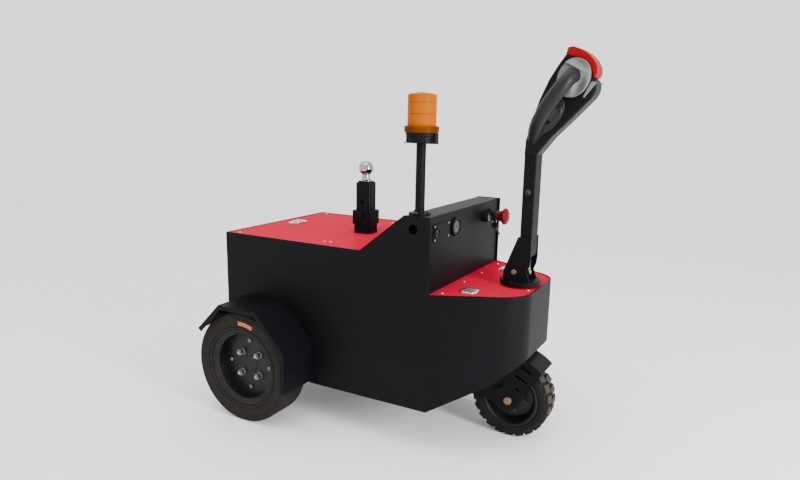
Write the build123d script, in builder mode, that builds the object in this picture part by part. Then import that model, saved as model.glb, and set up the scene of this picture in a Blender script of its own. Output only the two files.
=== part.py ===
"""Walk-behind electric tow tug: a three-wheeled tractor with a tiller.

Millimetres. +X points to the tiller end, +Z up, and the vehicle is symmetric about Y = 0
apart from its controls and beacon. The origin is on the floor, at the middle of the length.
"""
import os
from math import cos, radians, sin, sqrt, tan

from build123d import *

os.makedirs("parts", exist_ok=True)

# Clearances
seam = 0.3            # between a seated piece and its seat
running = 0.05        # radial, between a shaft and its bore

# Body, folded and welded from steel plate
body_width = 544
plate = 5
body_rear_x = -555
slope_foot_x = -24
riser_back_x = 126
riser_front_x = 210
nose_x = 457
belly_z = 129
front_deck_z = 489
rear_deck_z = 592
riser_top_z = 712
taper_deg = 27        # how far each side turns in, ahead of the riser
nose_r = 100
nose_seam_x = 396     # where the curved nose plate meets the side plates
chin_x = 375
chin_rise_deg = 28.5  # slope of the lower edge, from the riser to the chin
nose_foot_z = 288
ledge_w = 22
ledge_t = 4
cheek_hole_d = 28
cheek_hole_x = 155
cheek_hole_drop = 39  # below the riser's top

# Sheet panels
sheet = 3
rim_drop = 1.5        # how far a panel lies below the plate's edge
dash_setback = 6
lid_seam_x = -180
bend_r = 6

# Deck latches
latch_x = 290
latch_inset = 111     # from the body's widest side
latch_len = 62
latch_w = 46
latch_t = 2
pull_len = 40
pull_w = 22
pull_t = 0.8
ring_x = -485
ring_y = 25
ring_len = 64
ring_w = 44
ring_band = 9
ring_t = 3

# Rear wheels and drive axle
rear_axle_ahead = 161  # ahead of the body's rear
rear_tyre_r = 182
rear_tyre_w = 105
rear_sidewall = 56    # from the rim's seat to the tread
rear_shoulder = 6
rear_tyre_gap = 15    # between each tyre and the body
rear_dish = 47        # how deep the wheel disc lies inside the outer sidewall
wheel_disc_t = 8
stud_pcd = 100
stud_d = 12
stud_len = 20
hub_flange_r = 66
hub_flange_t = 14
stub_r = 20
stub_depth = 18       # how far the axle's stub reaches into the wheel's hub
axle_tube_r = 36
axle_hole_r = 48
drive_w = 250
drive_len = 190
drive_h = 100

# Battery block
battery_len = 330
battery_w = 420
battery_h = 240
battery_rear_x = -150

# Fenders: a bent strip, its corners about the axle in tyre radii (x, z)
fender_t = 4
fender_reach = 21     # beyond the tyre's outer sidewall
fender_lip = 16
fender_corners = [
    (-0.885, 0.615),
    (-0.379, 1.126),
    (0.456, 1.126),
    (1.049, 0.489),
    (1.049, -0.231),
]

# Steering, fork and front wheel
steer_x = 389
front_tyre_r = 125.5
front_tyre_w = 85
front_sidewall = 32.5
front_shoulder = 12
front_axle_d = 25
front_axle_len = 126
hub_r = 26
rim_web = 20          # thickness of the front rim's web
fork_plate = 6
fork_side_gap = 5.5   # between the tyre and each fork plate
fork_crown_gap = 22.5  # from the tread to the crown's outer face
fork_crown_deg = 46   # where the crown's front end stands, above the horizontal
column_r = 30
column_flange_r = 55
column_flange_t = 8
bearing_r = 46
bearing_clear = 16.5  # from the crown to the foot of the bearing tube
bearing_drop = 19     # from the front deck down to the tube's top
cross_plate_rise = 40
cross_plate_t = 10
cross_plate_rear = 89
cross_plate_front = 51

# Tiller base and arm
base_disc_r = 62
base_disc_t = 12
base_gap = 5
cheek_t = 5
cheek_gap = 62        # between the two cheeks of the tiller base
pivot_behind = 10.6   # how far behind the steering axis the pivot lies
pivot_rise = 26       # above the base disc
pivot_r = 8
arm_depth = 37
arm_width = 60
arm_wall = 3
arm_foot_rise = 34    # above the pivot
arm_len = 318
lug_r = 16
arm_slot_w = 36       # slot in the arm's rear wall, for the gas spring
arm_slot_len = 84

# Gas spring
spring_ahead = 22     # how far its foot stands ahead of the steering axis
spring_drop = 3       # and how far below the pivot
spring_len = 191      # between its eyes
spring_barrel_r = 7
spring_barrel_len = 120
spring_rod_r = 3
spring_rod_start = 80
spring_eye_r = 8
spring_eye_w = 12
spring_pin_r = 4
ear_gap = 3           # between the spring's eye and each ear
ear_t = 4

# Control head, measured from the rear of the arm's top
head_width = 70
head_edge_r = 6
thumb_ahead = 131
thumb_up = 217
thumb_r = 44.5
thumb_stretch = 19
thumb_t = 20
thumb_lean_deg = 25
wing_foot = 26        # from the wheel's middle up to the foot of its upper wing
wing_side = 6.5         # and ahead to the lower wing
channel_depth = 10
dish_depth = 8
upper_dish_r = 15
lower_dish_r = 24
upper_dish = 40       # from the wheel's middle up to the upper dish
lower_dish = (-14, -25.5, 0)
grip_ahead = 128
grip_up = 232
grip_r = 17.5
grip_reach = 108      # from the middle plane to the hand loop's outer corner
elbow_ahead = 57
elbow_up = 125
elbow_reach = 88
root_ahead = 19
root_up = 40
root_reach = 16
pad_t = 3
grip_gap = 1

# Tow hitch
hitch_x = -173
receiver_w = 60
receiver_depth = 150  # below the rear deck
collar_w = 70
collar_rise = 30      # above the rear deck
collar_h = 46
post_w = 50
post_rise = 176
post_chamfer = 8
ball_r = 25
ball_rise = 42        # from the post's top to the ball's centre
ball_neck_r = 13.3
ball_flat_r = 9.4     # flat on top of the ball
ball_skirt_r = 22
ball_skirt_h = 13
pin_r = 7
pin_rise = 31         # above the collar's foot
post_hole_rise = 27   # above the collar's top

# Beacon
beacon_x = 150
beacon_inset = 50     # from the body's side
pole_r = 12.5
pole_rise = 200       # above the riser
pole_flange_r = 30
pole_flange_t = 5
beacon_base_r = 45
beacon_base_h = 31
beacon_rib_d = 2.5
beacon_ribs = 12
beacon_rib_w = 8
beacon_rim_h = 8
bracket_len = 94
bracket_w = 40
bracket_t = 2.2
strap_w = 22
strap_h = 30
beacon_flange_r = 49.5
beacon_flange_h = 18
beacon_lens_r = 41
beacon_lens_h = 106
beacon_dome_h = 7
groove_depth = 1.5
groove_h = 3
lower_groove = 53
upper_groove = 85

# Dash controls, all centred on one height
controls_drop = 51    # below the riser's top
socket_inset = 27     # from the side plate
socket_plate_w = 106
socket_plate_h = 50
socket_plate_t = 2.5
socket_offset = 33
socket_r = 16
socket_wall = 4
gauge_gap = 16        # between the socket's plate and the gauge
gauge_bezel_r = 29
gauge_r = 26
stop_inset = 77       # from the side plate
key_apart = 53        # from the emergency stop
key_r = 11
stop_neck_r = 16
stop_cap_r = 28.5
stop_cap_rise = 55    # of the cap's widest part above the dash
stop_top_rise = 68
stop_foot_t = 8
stop_shank = 25

half_width = body_width / 2
inner_half = half_width - plate
nose_half = half_width - (nose_x - riser_front_x) * tan(radians(taper_deg))
chin_z = belly_z + (chin_x - riser_front_x) * tan(radians(chin_rise_deg))
dash_x = riser_front_x - dash_setback
rear_axle_x = body_rear_x + rear_axle_ahead
rear_deck_top = rear_deck_z - rim_drop
front_deck_top = front_deck_z - rim_drop
riser_top = riser_top_z - rim_drop
rear_wheel_y = half_width + rear_tyre_gap + rear_tyre_w / 2
fender_y = half_width + rear_tyre_gap + rear_tyre_w + fender_reach
controls_z = riser_top_z - controls_drop
socket_y = -(inner_half - socket_inset - socket_plate_w / 2)
gauge_y = socket_y + socket_plate_w / 2 + gauge_gap + gauge_bezel_r
stop_y = inner_half - stop_inset
key_y = stop_y - key_apart


def write(piece, label):
    """Label a finished piece and write its STEP file."""
    piece.part.label = label
    export_step(piece.part, f"parts/{label}.step")


def plan(inset, rear_x=None, front_x=None):
    """Plan outline of the body, a given distance inside its outer face, cut to a length."""
    with BuildSketch() as outline:
        with BuildLine():
            Polyline(
                (body_rear_x, -half_width),
                (riser_front_x, -half_width),
                (nose_x, -nose_half),
                (nose_x, nose_half),
                (riser_front_x, half_width),
                (body_rear_x, half_width),
                close=True,
            )
        make_face()
        fillet(outline.vertices().group_by(Axis.X)[-1], nose_r)
        if inset:
            offset(amount=-inset, mode=Mode.REPLACE)
        if rear_x is not None:
            middle = (rear_x + front_x) / 2
            with Locations((middle, 0)):
                Rectangle(front_x - rear_x, body_width, mode=Mode.INTERSECT)
    return outline.sketch


# Body shell: rear plate, two side plates and the nose plate, welded end to end. Each is its
# share of one wall all round, with the ledges that carry the deck plates.
rear_share_x = body_rear_x + plate + ledge_w
for label, share_x, share_y in (
    ("rear_plate", (body_rear_x, rear_share_x), (-inner_half, inner_half)),
    ("side_plate_right", (body_rear_x, nose_seam_x), (-half_width, 0)),
    ("side_plate_left", (body_rear_x, nose_seam_x), (0, half_width)),
    ("nose_plate", (nose_seam_x, nose_x), (-half_width, half_width)),
):
    with BuildPart() as wall:
        add(plan(0))
        extrude(amount=riser_top_z)
        add(plan(plate))
        extrude(amount=riser_top_z, mode=Mode.SUBTRACT)
        with BuildSketch(Plane.XZ):
            with BuildLine():
                Polyline(
                    (body_rear_x, belly_z),
                    (body_rear_x, rear_deck_z),
                    (slope_foot_x, rear_deck_z),
                    (riser_back_x, riser_top_z),
                    (riser_front_x, riser_top_z),
                    (riser_front_x, front_deck_z),
                    (nose_x, front_deck_z),
                    (nose_x, nose_foot_z),
                    (chin_x, chin_z),
                    (riser_front_x, belly_z),
                    close=True,
                )
            make_face()
        extrude(amount=half_width, both=True, mode=Mode.INTERSECT)
        # ledges: rear end, front end, top of the panel that they carry
        for ledge_rear, ledge_front, panel_top in (
            (body_rear_x, slope_foot_x, rear_deck_top),
            (riser_front_x, nose_x, front_deck_top),
        ):
            with BuildSketch(Plane.XY.offset(panel_top - sheet - ledge_t)):
                add(plan(plate, ledge_rear, ledge_front))
                add(plan(plate + ledge_w, ledge_rear - ledge_w, ledge_front), mode=Mode.SUBTRACT)
            extrude(amount=ledge_t)
        with Locations(Location((rear_axle_x, 0, rear_tyre_r), (90, 0, 0))):
            Cylinder(axle_hole_r, body_width, mode=Mode.SUBTRACT)
        with Locations(Location((cheek_hole_x, 0, riser_top_z - cheek_hole_drop), (90, 0, 0))):
            Cylinder(cheek_hole_d / 2, body_width, mode=Mode.SUBTRACT)
        with BuildSketch():
            with Locations((sum(share_x) / 2, sum(share_y) / 2)):
                Rectangle(share_x[1] - share_x[0], share_y[1] - share_y[0])
        extrude(amount=riser_top_z, mode=Mode.INTERSECT)
        if label.startswith("side"):
            with BuildSketch():
                with Locations(((body_rear_x + rear_share_x) / 2, 0)):
                    Rectangle(plate + ledge_w, 2 * inner_half)
            extrude(amount=riser_top_z, mode=Mode.SUBTRACT)
    write(wall, label)

# Belly plate between the side plates, behind the wheel well
with BuildPart() as belly_plate:
    with BuildSketch(Plane.XY.offset(belly_z)):
        add(plan(plate, body_rear_x + plate, dash_x))
    extrude(amount=sheet)
write(belly_plate, "belly_plate")

# Bulkhead under the dash, closing the wheel well to the rear
bulkhead_foot_z = belly_z + sheet
bulkhead_top_z = front_deck_top - sheet - ledge_t
with BuildPart() as wheel_well_bulkhead:
    with BuildSketch(Plane.YZ.offset(dash_x - sheet)):
        with Locations((0, (bulkhead_foot_z + bulkhead_top_z) / 2)):
            Rectangle(2 * inner_half, bulkhead_top_z - bulkhead_foot_z)
    extrude(amount=sheet)
write(wheel_well_bulkhead, "wheel_well_bulkhead")

# Rear deck: a lid behind the seam and a fixed plate ahead of it, notched round the receiver
notch = receiver_w + 2 * seam
for label, panel_rear, panel_front in (
    ("rear_deck_lid", body_rear_x + plate + seam, lid_seam_x - seam),
    ("rear_deck_plate", lid_seam_x + seam, slope_foot_x),
):
    with BuildPart() as deck_panel:
        with BuildSketch(Plane.XY.offset(rear_deck_top - sheet)):
            add(plan(plate + seam, panel_rear, panel_front))
            with Locations((hitch_x, 0)):
                Rectangle(notch, notch, mode=Mode.SUBTRACT)
        extrude(amount=sheet)
    write(deck_panel, label)

# Riser cover: one bent sheet, up the slope and over the top
with BuildPart() as riser_cover:
    with BuildSketch(Plane.XZ):
        with BuildLine():
            FilletPolyline(
                (slope_foot_x + seam, rear_deck_top),
                (riser_back_x, riser_top),
                (dash_x, riser_top),
                radius=bend_r,
            )
            offset(amount=sheet, side=Side.RIGHT)
        make_face()
    extrude(amount=inner_half - seam, both=True)
write(riser_cover, "riser_cover")

# Dash panel between the cheeks, with its cut-outs
dash_top_z = riser_top - sheet - seam
with BuildPart() as dash_panel:
    with BuildSketch(Plane.YZ.offset(dash_x - sheet)):
        with Locations((0, (front_deck_top + dash_top_z) / 2)):
            Rectangle(2 * (inner_half - seam), dash_top_z - front_deck_top)
        for control_y, hole_r in ((gauge_y, gauge_r), (key_y, key_r), (stop_y, stop_neck_r)):
            with Locations((control_y, controls_z)):
                Circle(hole_r, mode=Mode.SUBTRACT)
    extrude(amount=sheet)
write(dash_panel, "dash_panel")

# Front deck plate, with the hole for the steering column
with BuildPart() as front_deck_plate:
    with BuildSketch(Plane.XY.offset(front_deck_top - sheet)):
        add(plan(plate + seam, dash_x + seam, nose_x))
        with Locations((steer_x, 0)):
            Circle(column_r + base_gap, mode=Mode.SUBTRACT)
    extrude(amount=sheet)
write(front_deck_plate, "front_deck_plate")

# Deck latches: a plate with a recessed oval pull, one each side of the front deck
latch_y = half_width - latch_inset
with BuildPart() as front_deck_latches:
    with BuildSketch(Plane.XY.offset(front_deck_top)):
        with Locations((latch_x, -latch_y), (latch_x, latch_y)):
            RectangleRounded(latch_w, latch_len, 4)
            SlotOverall(pull_len, pull_w, rotation=90, mode=Mode.SUBTRACT)
    extrude(amount=latch_t)
    with BuildSketch(Plane.XY.offset(front_deck_top)):
        with Locations((latch_x, -latch_y), (latch_x, latch_y)):
            SlotOverall(pull_len, pull_w, rotation=90)
    extrude(amount=pull_t)
write(front_deck_latches, "front_deck_latches")

# Ring latch of the rear lid
ring_hole_len = ring_len - 2 * ring_band
ring_hole_w = ring_w - 2 * ring_band
with BuildPart() as rear_ring_latch:
    with BuildSketch(Plane.XY.offset(rear_deck_top)):
        with Locations((ring_x, ring_y)):
            SlotOverall(ring_len, ring_w, rotation=90)
            SlotOverall(ring_hole_len, ring_hole_w, rotation=90, mode=Mode.SUBTRACT)
    extrude(amount=ring_t)
    with BuildSketch(Plane.XY.offset(rear_deck_top)):
        with Locations((ring_x, ring_y)):
            SlotOverall(ring_hole_len, ring_hole_w, rotation=90)
    extrude(amount=pull_t)
write(rear_ring_latch, "rear_ring_latch")

# Drive axle: a casing with a tube and a stub on each side
hub_face_y = rear_wheel_y + rear_tyre_w / 2 - rear_dish - wheel_disc_t - hub_flange_t
with BuildPart() as drive_axle:
    with BuildSketch(Plane.XZ.offset(-drive_w / 2)):
        with Locations((rear_axle_x, rear_tyre_r)):
            Circle(drive_h / 2)
        with Locations((rear_axle_x + drive_len / 2, rear_tyre_r)):
            Rectangle(drive_len, drive_h)
    extrude(amount=drive_w)
    with Locations(Location((rear_axle_x, 0, rear_tyre_r), (90, 0, 0))):
        Cylinder(axle_tube_r, 2 * (hub_face_y - 4))
        Cylinder(stub_r, 2 * (hub_face_y + stub_depth - seam))
write(drive_axle, "drive_axle")

# Battery block, low between the axle and the bulkhead
with BuildPart() as battery_pack:
    with BuildSketch(Plane.XY.offset(belly_z + sheet)):
        with Locations((battery_rear_x + battery_len / 2, 0)):
            RectangleRounded(battery_len, battery_w, 12)
    extrude(amount=battery_h)
write(battery_pack, "battery_pack")


def tyre_profile(bead_r, tyre_r, width, shoulder):
    """Half section of a tyre, from its bead to its tread, about the local Y axis."""
    half = width / 2
    with BuildSketch() as section:
        with BuildLine():
            Polyline(
                (bead_r, -half + 4),
                (bead_r + 6, -half),
                (tyre_r - shoulder, -half),
                (tyre_r, -half + shoulder),
                (tyre_r, half - shoulder),
                (tyre_r - shoulder, half),
                (bead_r + 6, half),
                (bead_r, half - 4),
                close=True,
            )
        make_face()
        fillet(section.vertices().filter_by_position(Axis.X, tyre_r - 1, tyre_r + 1), shoulder)
    return section.sketch


# Rear wheels: tyre, and a dished rim with its studs
rear_bead_r = rear_tyre_r - rear_sidewall
rear_half = rear_tyre_w / 2
rear_seat_r = rear_bead_r - seam
disc_out = rear_half - rear_dish
disc_in = disc_out - wheel_disc_t
for side, label in ((-1, "right"), (1, "left")):
    wheel_plane = Plane(
        origin=(rear_axle_x, side * rear_wheel_y, rear_tyre_r),
        x_dir=(1, 0, 0),
        z_dir=(0, 0, side),
    )
    spin = Axis(wheel_plane.origin, (0, side, 0))
    with BuildPart() as rear_tyre:
        with BuildSketch(wheel_plane):
            add(tyre_profile(rear_bead_r, rear_tyre_r, rear_tyre_w, rear_shoulder))
        revolve(axis=spin)
    write(rear_tyre, f"rear_tyre_{label}")

    with BuildPart() as rear_rim:
        with BuildSketch(wheel_plane):
            with BuildLine():
                Polyline(
                    (0, disc_in),
                    (rear_seat_r - 30, disc_in),
                    (rear_seat_r - 26, -rear_half + 14),
                    (rear_seat_r - 5, -rear_half + 4),
                    (rear_seat_r, -rear_half + 4),
                    (rear_seat_r, rear_half - 4),
                    (rear_seat_r - 5, rear_half - 2),
                    (rear_seat_r - 14, rear_half - 12),
                    (rear_seat_r - 18, rear_half - 14),
                    (rear_seat_r - 24, disc_out),
                    (0, disc_out),
                    close=True,
                )
            make_face()
        revolve(axis=spin)
        with Locations(Plane(wheel_plane.origin, x_dir=(1, 0, 0), z_dir=(0, side, 0))):
            with Locations((0, 0, disc_out)):
                with PolarLocations(stud_pcd / 2, 4, start_angle=45):
                    Cylinder(stud_d / 2, stud_len, align=(Align.CENTER, Align.CENTER, Align.MIN))
            with Locations((0, 0, disc_in)):
                Cylinder(
                    hub_flange_r,
                    hub_flange_t,
                    align=(Align.CENTER, Align.CENTER, Align.MAX),
                )
            with Locations((0, 0, disc_in - hub_flange_t)):
                Cylinder(
                    stub_r + running,
                    stub_depth,
                    align=(Align.CENTER, Align.CENTER, Align.MIN),
                    mode=Mode.SUBTRACT,
                )
    write(rear_rim, f"rear_rim_{label}")

# Fenders: a bent strip over each wheel, with an inward lip along its outer edge
strip = [(rear_axle_x + rear_tyre_r * x, rear_tyre_r * (1 + z)) for x, z in fender_corners]
with BuildPart() as fenders:
    for side in (-1, 1):
        with BuildSketch(Plane.XZ.offset(-side * half_width)):
            with BuildLine():
                Polyline(*strip)
                offset(amount=fender_t, side=Side.RIGHT)
            make_face()
        extrude(amount=-side * (fender_y - half_width))
        with BuildSketch(Plane.XZ.offset(-side * (fender_y - fender_t))):
            with BuildLine():
                Polyline(*strip)
                offset(amount=fender_lip, side=Side.RIGHT)
            make_face()
        extrude(amount=-side * fender_t)
write(fenders, "fenders")

# Steering head: a cross plate between the sides, with the column's bearing tube
fork_crown_r = front_tyre_r + fork_crown_gap
crown_top_z = front_tyre_r + fork_crown_r
bearing_foot_z = crown_top_z + bearing_clear
bearing_top_z = front_deck_z - bearing_drop
with BuildPart() as steering_head:
    with BuildSketch(Plane.XY.offset(bearing_foot_z + cross_plate_rise)):
        add(plan(plate + seam, steer_x - cross_plate_rear, steer_x + cross_plate_front))
    extrude(amount=cross_plate_t)
    with BuildSketch(Plane.XY.offset(bearing_foot_z)):
        with Locations((steer_x, 0)):
            Circle(bearing_r)
    extrude(amount=bearing_top_z - bearing_foot_z)
    with BuildSketch(Plane.XY.offset(bearing_foot_z)):
        with Locations((steer_x, 0)):
            Circle(column_r + running)
    extrude(amount=bearing_top_z - bearing_foot_z, mode=Mode.SUBTRACT)
write(steering_head, "steering_head")

# Fork: two slotted plates under a curved crown, with the column on top. Its outline and slots
# are laid out about the axle in crown radii.
fork_half = front_tyre_w / 2 + fork_side_gap
crown_cos = cos(radians(fork_crown_deg))
crown_sin = sin(radians(fork_crown_deg))
fork_slots = [  # radius in crown radii, start angle, end angle
    (0.824, 57, 72),
    (0.824, 108, 123),
    (0.588, 53, 75),
    (0.588, 105, 127),
    (0.338, 50, 62),
    (0.338, 116, 146),
]
slot_w = 7
with BuildPart() as front_fork:
    with BuildSketch(Plane.XZ.offset(-fork_half - fork_plate)):
        with Locations((steer_x, front_tyre_r)):
            with BuildSketch(mode=Mode.PRIVATE) as fork_side:
                with BuildLine() as fork_edge:
                    ThreePointArc((crown_cos, crown_sin), (0, 1), (-crown_cos, crown_sin))
                    Polyline((-crown_cos, crown_sin), (-0.588, -0.034), (-0.101, -0.203))
                    ThreePointArc((-0.101, -0.203), (0.041, -0.223), (0.223, -0.041))
                    Polyline((0.223, -0.041), (0.392, 0.297), (crown_cos, crown_sin))
                make_face()
                scale(by=fork_crown_r)
            add(fork_side.sketch)
            for slot_r, slot_start, slot_end in fork_slots:
                SlotArc(
                    CenterArc((0, 0), slot_r * fork_crown_r, slot_start, slot_end - slot_start),
                    slot_w,
                    mode=Mode.SUBTRACT,
                )
    extrude(amount=2 * (fork_half + fork_plate))
    with BuildSketch(Plane.XZ.offset(-fork_half)):
        with Locations((steer_x, front_tyre_r)):
            Circle(fork_crown_r - fork_plate)
        with Locations((steer_x, front_tyre_r - fork_crown_r)):
            Rectangle(3 * fork_crown_r, 2 * fork_crown_r)
    extrude(amount=2 * fork_half, mode=Mode.SUBTRACT)
    column_foot_z = crown_top_z - fork_plate / 2
    with BuildSketch(Plane.XY.offset(column_foot_z)):
        with Locations((steer_x, 0)):
            Circle(column_flange_r)
    extrude(amount=column_flange_t)
    with BuildSketch(Plane.XY.offset(column_foot_z)):
        with Locations((steer_x, 0)):
            Circle(column_r)
    extrude(amount=front_deck_z + base_gap - column_foot_z)
    with Locations(Location((steer_x, 0, front_tyre_r), (90, 0, 0))):
        Cylinder(front_axle_d / 2 + running, 2 * fork_crown_r, mode=Mode.SUBTRACT)
write(front_fork, "front_fork")

with BuildPart() as front_axle:
    with Locations(Location((steer_x, 0, front_tyre_r), (90, 0, 0))):
        Cylinder(front_axle_d / 2, front_axle_len)
    chamfer(front_axle.edges().filter_by(GeomType.CIRCLE), 1.5)
write(front_axle, "front_axle")

# Front wheel
front_bead_r = front_tyre_r - front_sidewall
front_spin = Axis((steer_x, 0, front_tyre_r), (0, 1, 0))
front_plane = Plane(origin=(steer_x, 0, front_tyre_r), x_dir=(1, 0, 0), z_dir=(0, 0, 1))
with BuildPart() as front_tyre:
    with BuildSketch(front_plane):
        add(tyre_profile(front_bead_r, front_tyre_r, front_tyre_w, front_shoulder))
    revolve(axis=front_spin)
write(front_tyre, "front_tyre")

front_half = front_tyre_w / 2
front_seat_r = front_bead_r - seam
with BuildPart() as front_rim:
    with BuildSketch(front_plane):
        with BuildLine():
            Polyline(
                (front_axle_d / 2 + running, -front_half),
                (hub_r, -front_half),
                (hub_r, -rim_web / 2),
                (front_seat_r - 25, -rim_web / 2),
                (front_seat_r - 15, -front_half + 8),
                (front_seat_r - 8, -front_half + 2),
                (front_seat_r, -front_half + 4),
                (front_seat_r, front_half - 4),
                (front_seat_r - 8, front_half - 2),
                (front_seat_r - 15, front_half - 8),
                (front_seat_r - 25, rim_web / 2),
                (hub_r, rim_web / 2),
                (hub_r, front_half),
                (front_axle_d / 2 + running, front_half),
                close=True,
            )
        make_face()
    revolve(axis=front_spin)
write(front_rim, "front_rim")

# Tiller base: a disc on the column, two cheeks, a web behind the arm, and two ears with the
# gas spring's pin. Cheeks and web are laid out from the pivot in x, and in z from it too.
base_z = front_deck_z + base_gap
base_top_z = base_z + base_disc_t
pivot_x = steer_x - pivot_behind
pivot_z = base_top_z + pivot_rise
spring_x = steer_x + spring_ahead
spring_z = pivot_z - spring_drop
cheek_outline = [
    (-33.4, -pivot_rise),
    (-32.9, 2),
    (-25.9, 19),
    (7.6, 108),
    (48.6, 108),
    (49.6, 46),
    (47.1, 21),
    (39.6, 2),
    (44.1, -12),
    (51.1, -pivot_rise),
]
web_line = [(-24, 24), (-2.2, 82)]
pivot_plane = Plane(origin=(pivot_x, 0, pivot_z), x_dir=(1, 0, 0), z_dir=(0, -1, 0))
with BuildPart() as tiller_base:
    with BuildSketch(Plane.XY.offset(base_z)):
        with Locations((steer_x, 0)):
            Circle(base_disc_r)
    extrude(amount=base_disc_t)
    chamfer(tiller_base.edges().filter_by(GeomType.CIRCLE).sort_by(Axis.Z)[-1], 2)
    for side in (-1, 1):
        with BuildSketch(pivot_plane.offset(-side * cheek_gap / 2)):
            with BuildLine():
                Polyline(*cheek_outline, close=True)
            make_face()
            Circle(pivot_r + running, mode=Mode.SUBTRACT)
        extrude(amount=-side * cheek_t)
        with BuildSketch(Plane.XZ.offset(-side * (spring_eye_w / 2 + ear_gap))):
            with Locations((spring_x, spring_z)):
                Circle(spring_eye_r)
            with Locations((spring_x, (spring_z + base_top_z) / 2)):
                Rectangle(2 * spring_eye_r, spring_z - base_top_z)
        extrude(amount=-side * ear_t)
    with BuildSketch(pivot_plane):
        with BuildLine():
            Polyline(*web_line)
            offset(amount=cheek_t, side=Side.RIGHT)
        make_face()
    extrude(amount=cheek_gap / 2, both=True)
    with Locations(Location((spring_x, 0, spring_z), (90, 0, 0))):
        Cylinder(spring_pin_r, spring_eye_w + 2 * (ear_gap + ear_t) + 2)
write(tiller_base, "tiller_base")

with BuildPart() as tiller_pivot_pin:
    with Locations(Location((pivot_x, 0, pivot_z), (90, 0, 0))):
        Cylinder(pivot_r, cheek_gap + 2 * cheek_t + 6)
    chamfer(tiller_pivot_pin.edges().filter_by(GeomType.CIRCLE), 1)
write(tiller_pivot_pin, "tiller_pivot_pin")

# Tiller arm: a rectangular tube whose side walls run down as lugs round the pivot. Its foot
# is cut on the slant, so that it clears the base disc when the arm is pulled down.
arm_x = steer_x
arm_foot_z = pivot_z + arm_foot_rise
arm_top_z = arm_foot_z + arm_len
arm_front = arm_x + arm_depth - pivot_x
foot_cut = [(17.6, -10), (53.6, 67.3), (53.6, -10)]
with BuildPart() as tiller_arm:
    with BuildSketch(Plane.XY.offset(arm_foot_z)):
        with Locations((arm_x + arm_depth / 2, 0)):
            RectangleRounded(arm_depth, arm_width, 4)
            Rectangle(arm_depth - 2 * arm_wall, arm_width - 2 * arm_wall, mode=Mode.SUBTRACT)
    extrude(amount=arm_len)
    with BuildSketch(Plane.XY.offset(arm_foot_z)):
        with Locations((arm_x, 0)):
            Rectangle(3 * arm_wall, arm_slot_w)
    extrude(amount=arm_slot_len, mode=Mode.SUBTRACT)
    for side in (-1, 1):
        with BuildSketch(pivot_plane.offset(-side * (arm_width / 2 - arm_wall))):
            Circle(lug_r)
            with BuildLine():
                Polyline(
                    (-lug_r * cos(radians(30)), lug_r * sin(radians(30))),
                    (pivot_behind, arm_foot_rise + 20),
                    (arm_front - 4, arm_foot_rise + 20),
                    (arm_front - 4, arm_foot_rise),
                    (lug_r * cos(radians(20)), -lug_r * sin(radians(20))),
                    close=True,
                )
            make_face()
            Circle(pivot_r + running, mode=Mode.SUBTRACT)
        extrude(amount=-side * arm_wall)
    with BuildSketch(pivot_plane):
        with BuildLine():
            Polyline(*foot_cut, close=True)
        make_face()
    extrude(amount=arm_width, both=True, mode=Mode.SUBTRACT)
write(tiller_arm, "tiller_arm")

# Gas spring between the base and the arm: the barrel's eye sits on the base's pin
spring_plane = Plane(origin=(spring_x, 0, spring_z), x_dir=(0, 1, 0), z_dir=(0, 0, 1))
with BuildPart() as gas_spring_barrel:
    with BuildSketch(spring_plane):
        Circle(spring_barrel_r)
    extrude(amount=spring_barrel_len)
    with BuildSketch(spring_plane.offset(2 * spring_eye_r)):
        Circle(spring_rod_r + running)
    extrude(amount=spring_barrel_len, mode=Mode.SUBTRACT)
    with Locations(Location((spring_x, 0, spring_z), (90, 0, 0))):
        Cylinder(spring_eye_r, spring_eye_w)
        Cylinder(spring_pin_r + running, 2 * spring_eye_w, mode=Mode.SUBTRACT)
write(gas_spring_barrel, "gas_spring_barrel")

with BuildPart() as gas_spring_rod:
    with BuildSketch(spring_plane.offset(spring_rod_start)):
        Circle(spring_rod_r)
    extrude(amount=spring_len - spring_rod_start)
    with Locations(Location((spring_x, 0, spring_z + spring_len), (90, 0, 0))):
        Cylinder(spring_eye_r, spring_eye_w)
write(gas_spring_rod, "gas_spring_rod")

# Control head housing: a leaning body, rounded along its edges, with the button's seat at
# its upper end. Seat, head and button are laid out in x and z from the rear of the arm's top.
head_plane = Plane(origin=(arm_x, 0, arm_top_z), x_dir=(1, 0, 0), z_dir=(0, -1, 0))
button_seat = [(103, 279), (123, 273), (147.3, 266.5), (166, 252), (177.2, 233.3), (181, 215.5)]
head_back = [(0, 0), (2, 42), (12, 81), (35, 155.5), (59, 210.5), (82, 249)]
head_front = [(187, 210.5), (191.5, 203), (193, 193), (191.7, 181.5), (187.5, 170.5), (180, 159.5)]
head_under = [(130, 106), (75, 50)]
button_outer = [(187, 216), (192, 228), (191, 246), (180, 265), (163, 282), (141, 294), (123, 300)]
button_end = (108, 298)
head_half = head_width / 2
with BuildPart() as head_housing:
    with BuildSketch(head_plane):
        with BuildLine():
            Polyline(*head_back, *button_seat, *head_front, *head_under, (arm_depth, 0), close=True)
        make_face()
    extrude(amount=head_half, both=True)
    fillet(head_housing.edges().group_by(Axis.Y)[0], head_edge_r)
    fillet(head_housing.edges().group_by(Axis.Y)[-1], head_edge_r)
write(head_housing, "head_housing")

# Red safety button, a cap over the head's upper end
with BuildPart() as reverse_button:
    with BuildSketch(head_plane):
        with BuildLine():
            Polyline(*button_seat, *button_outer, button_end, close=True)
        make_face()
    extrude(amount=head_half, both=True)
write(reverse_button, "reverse_button")

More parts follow.
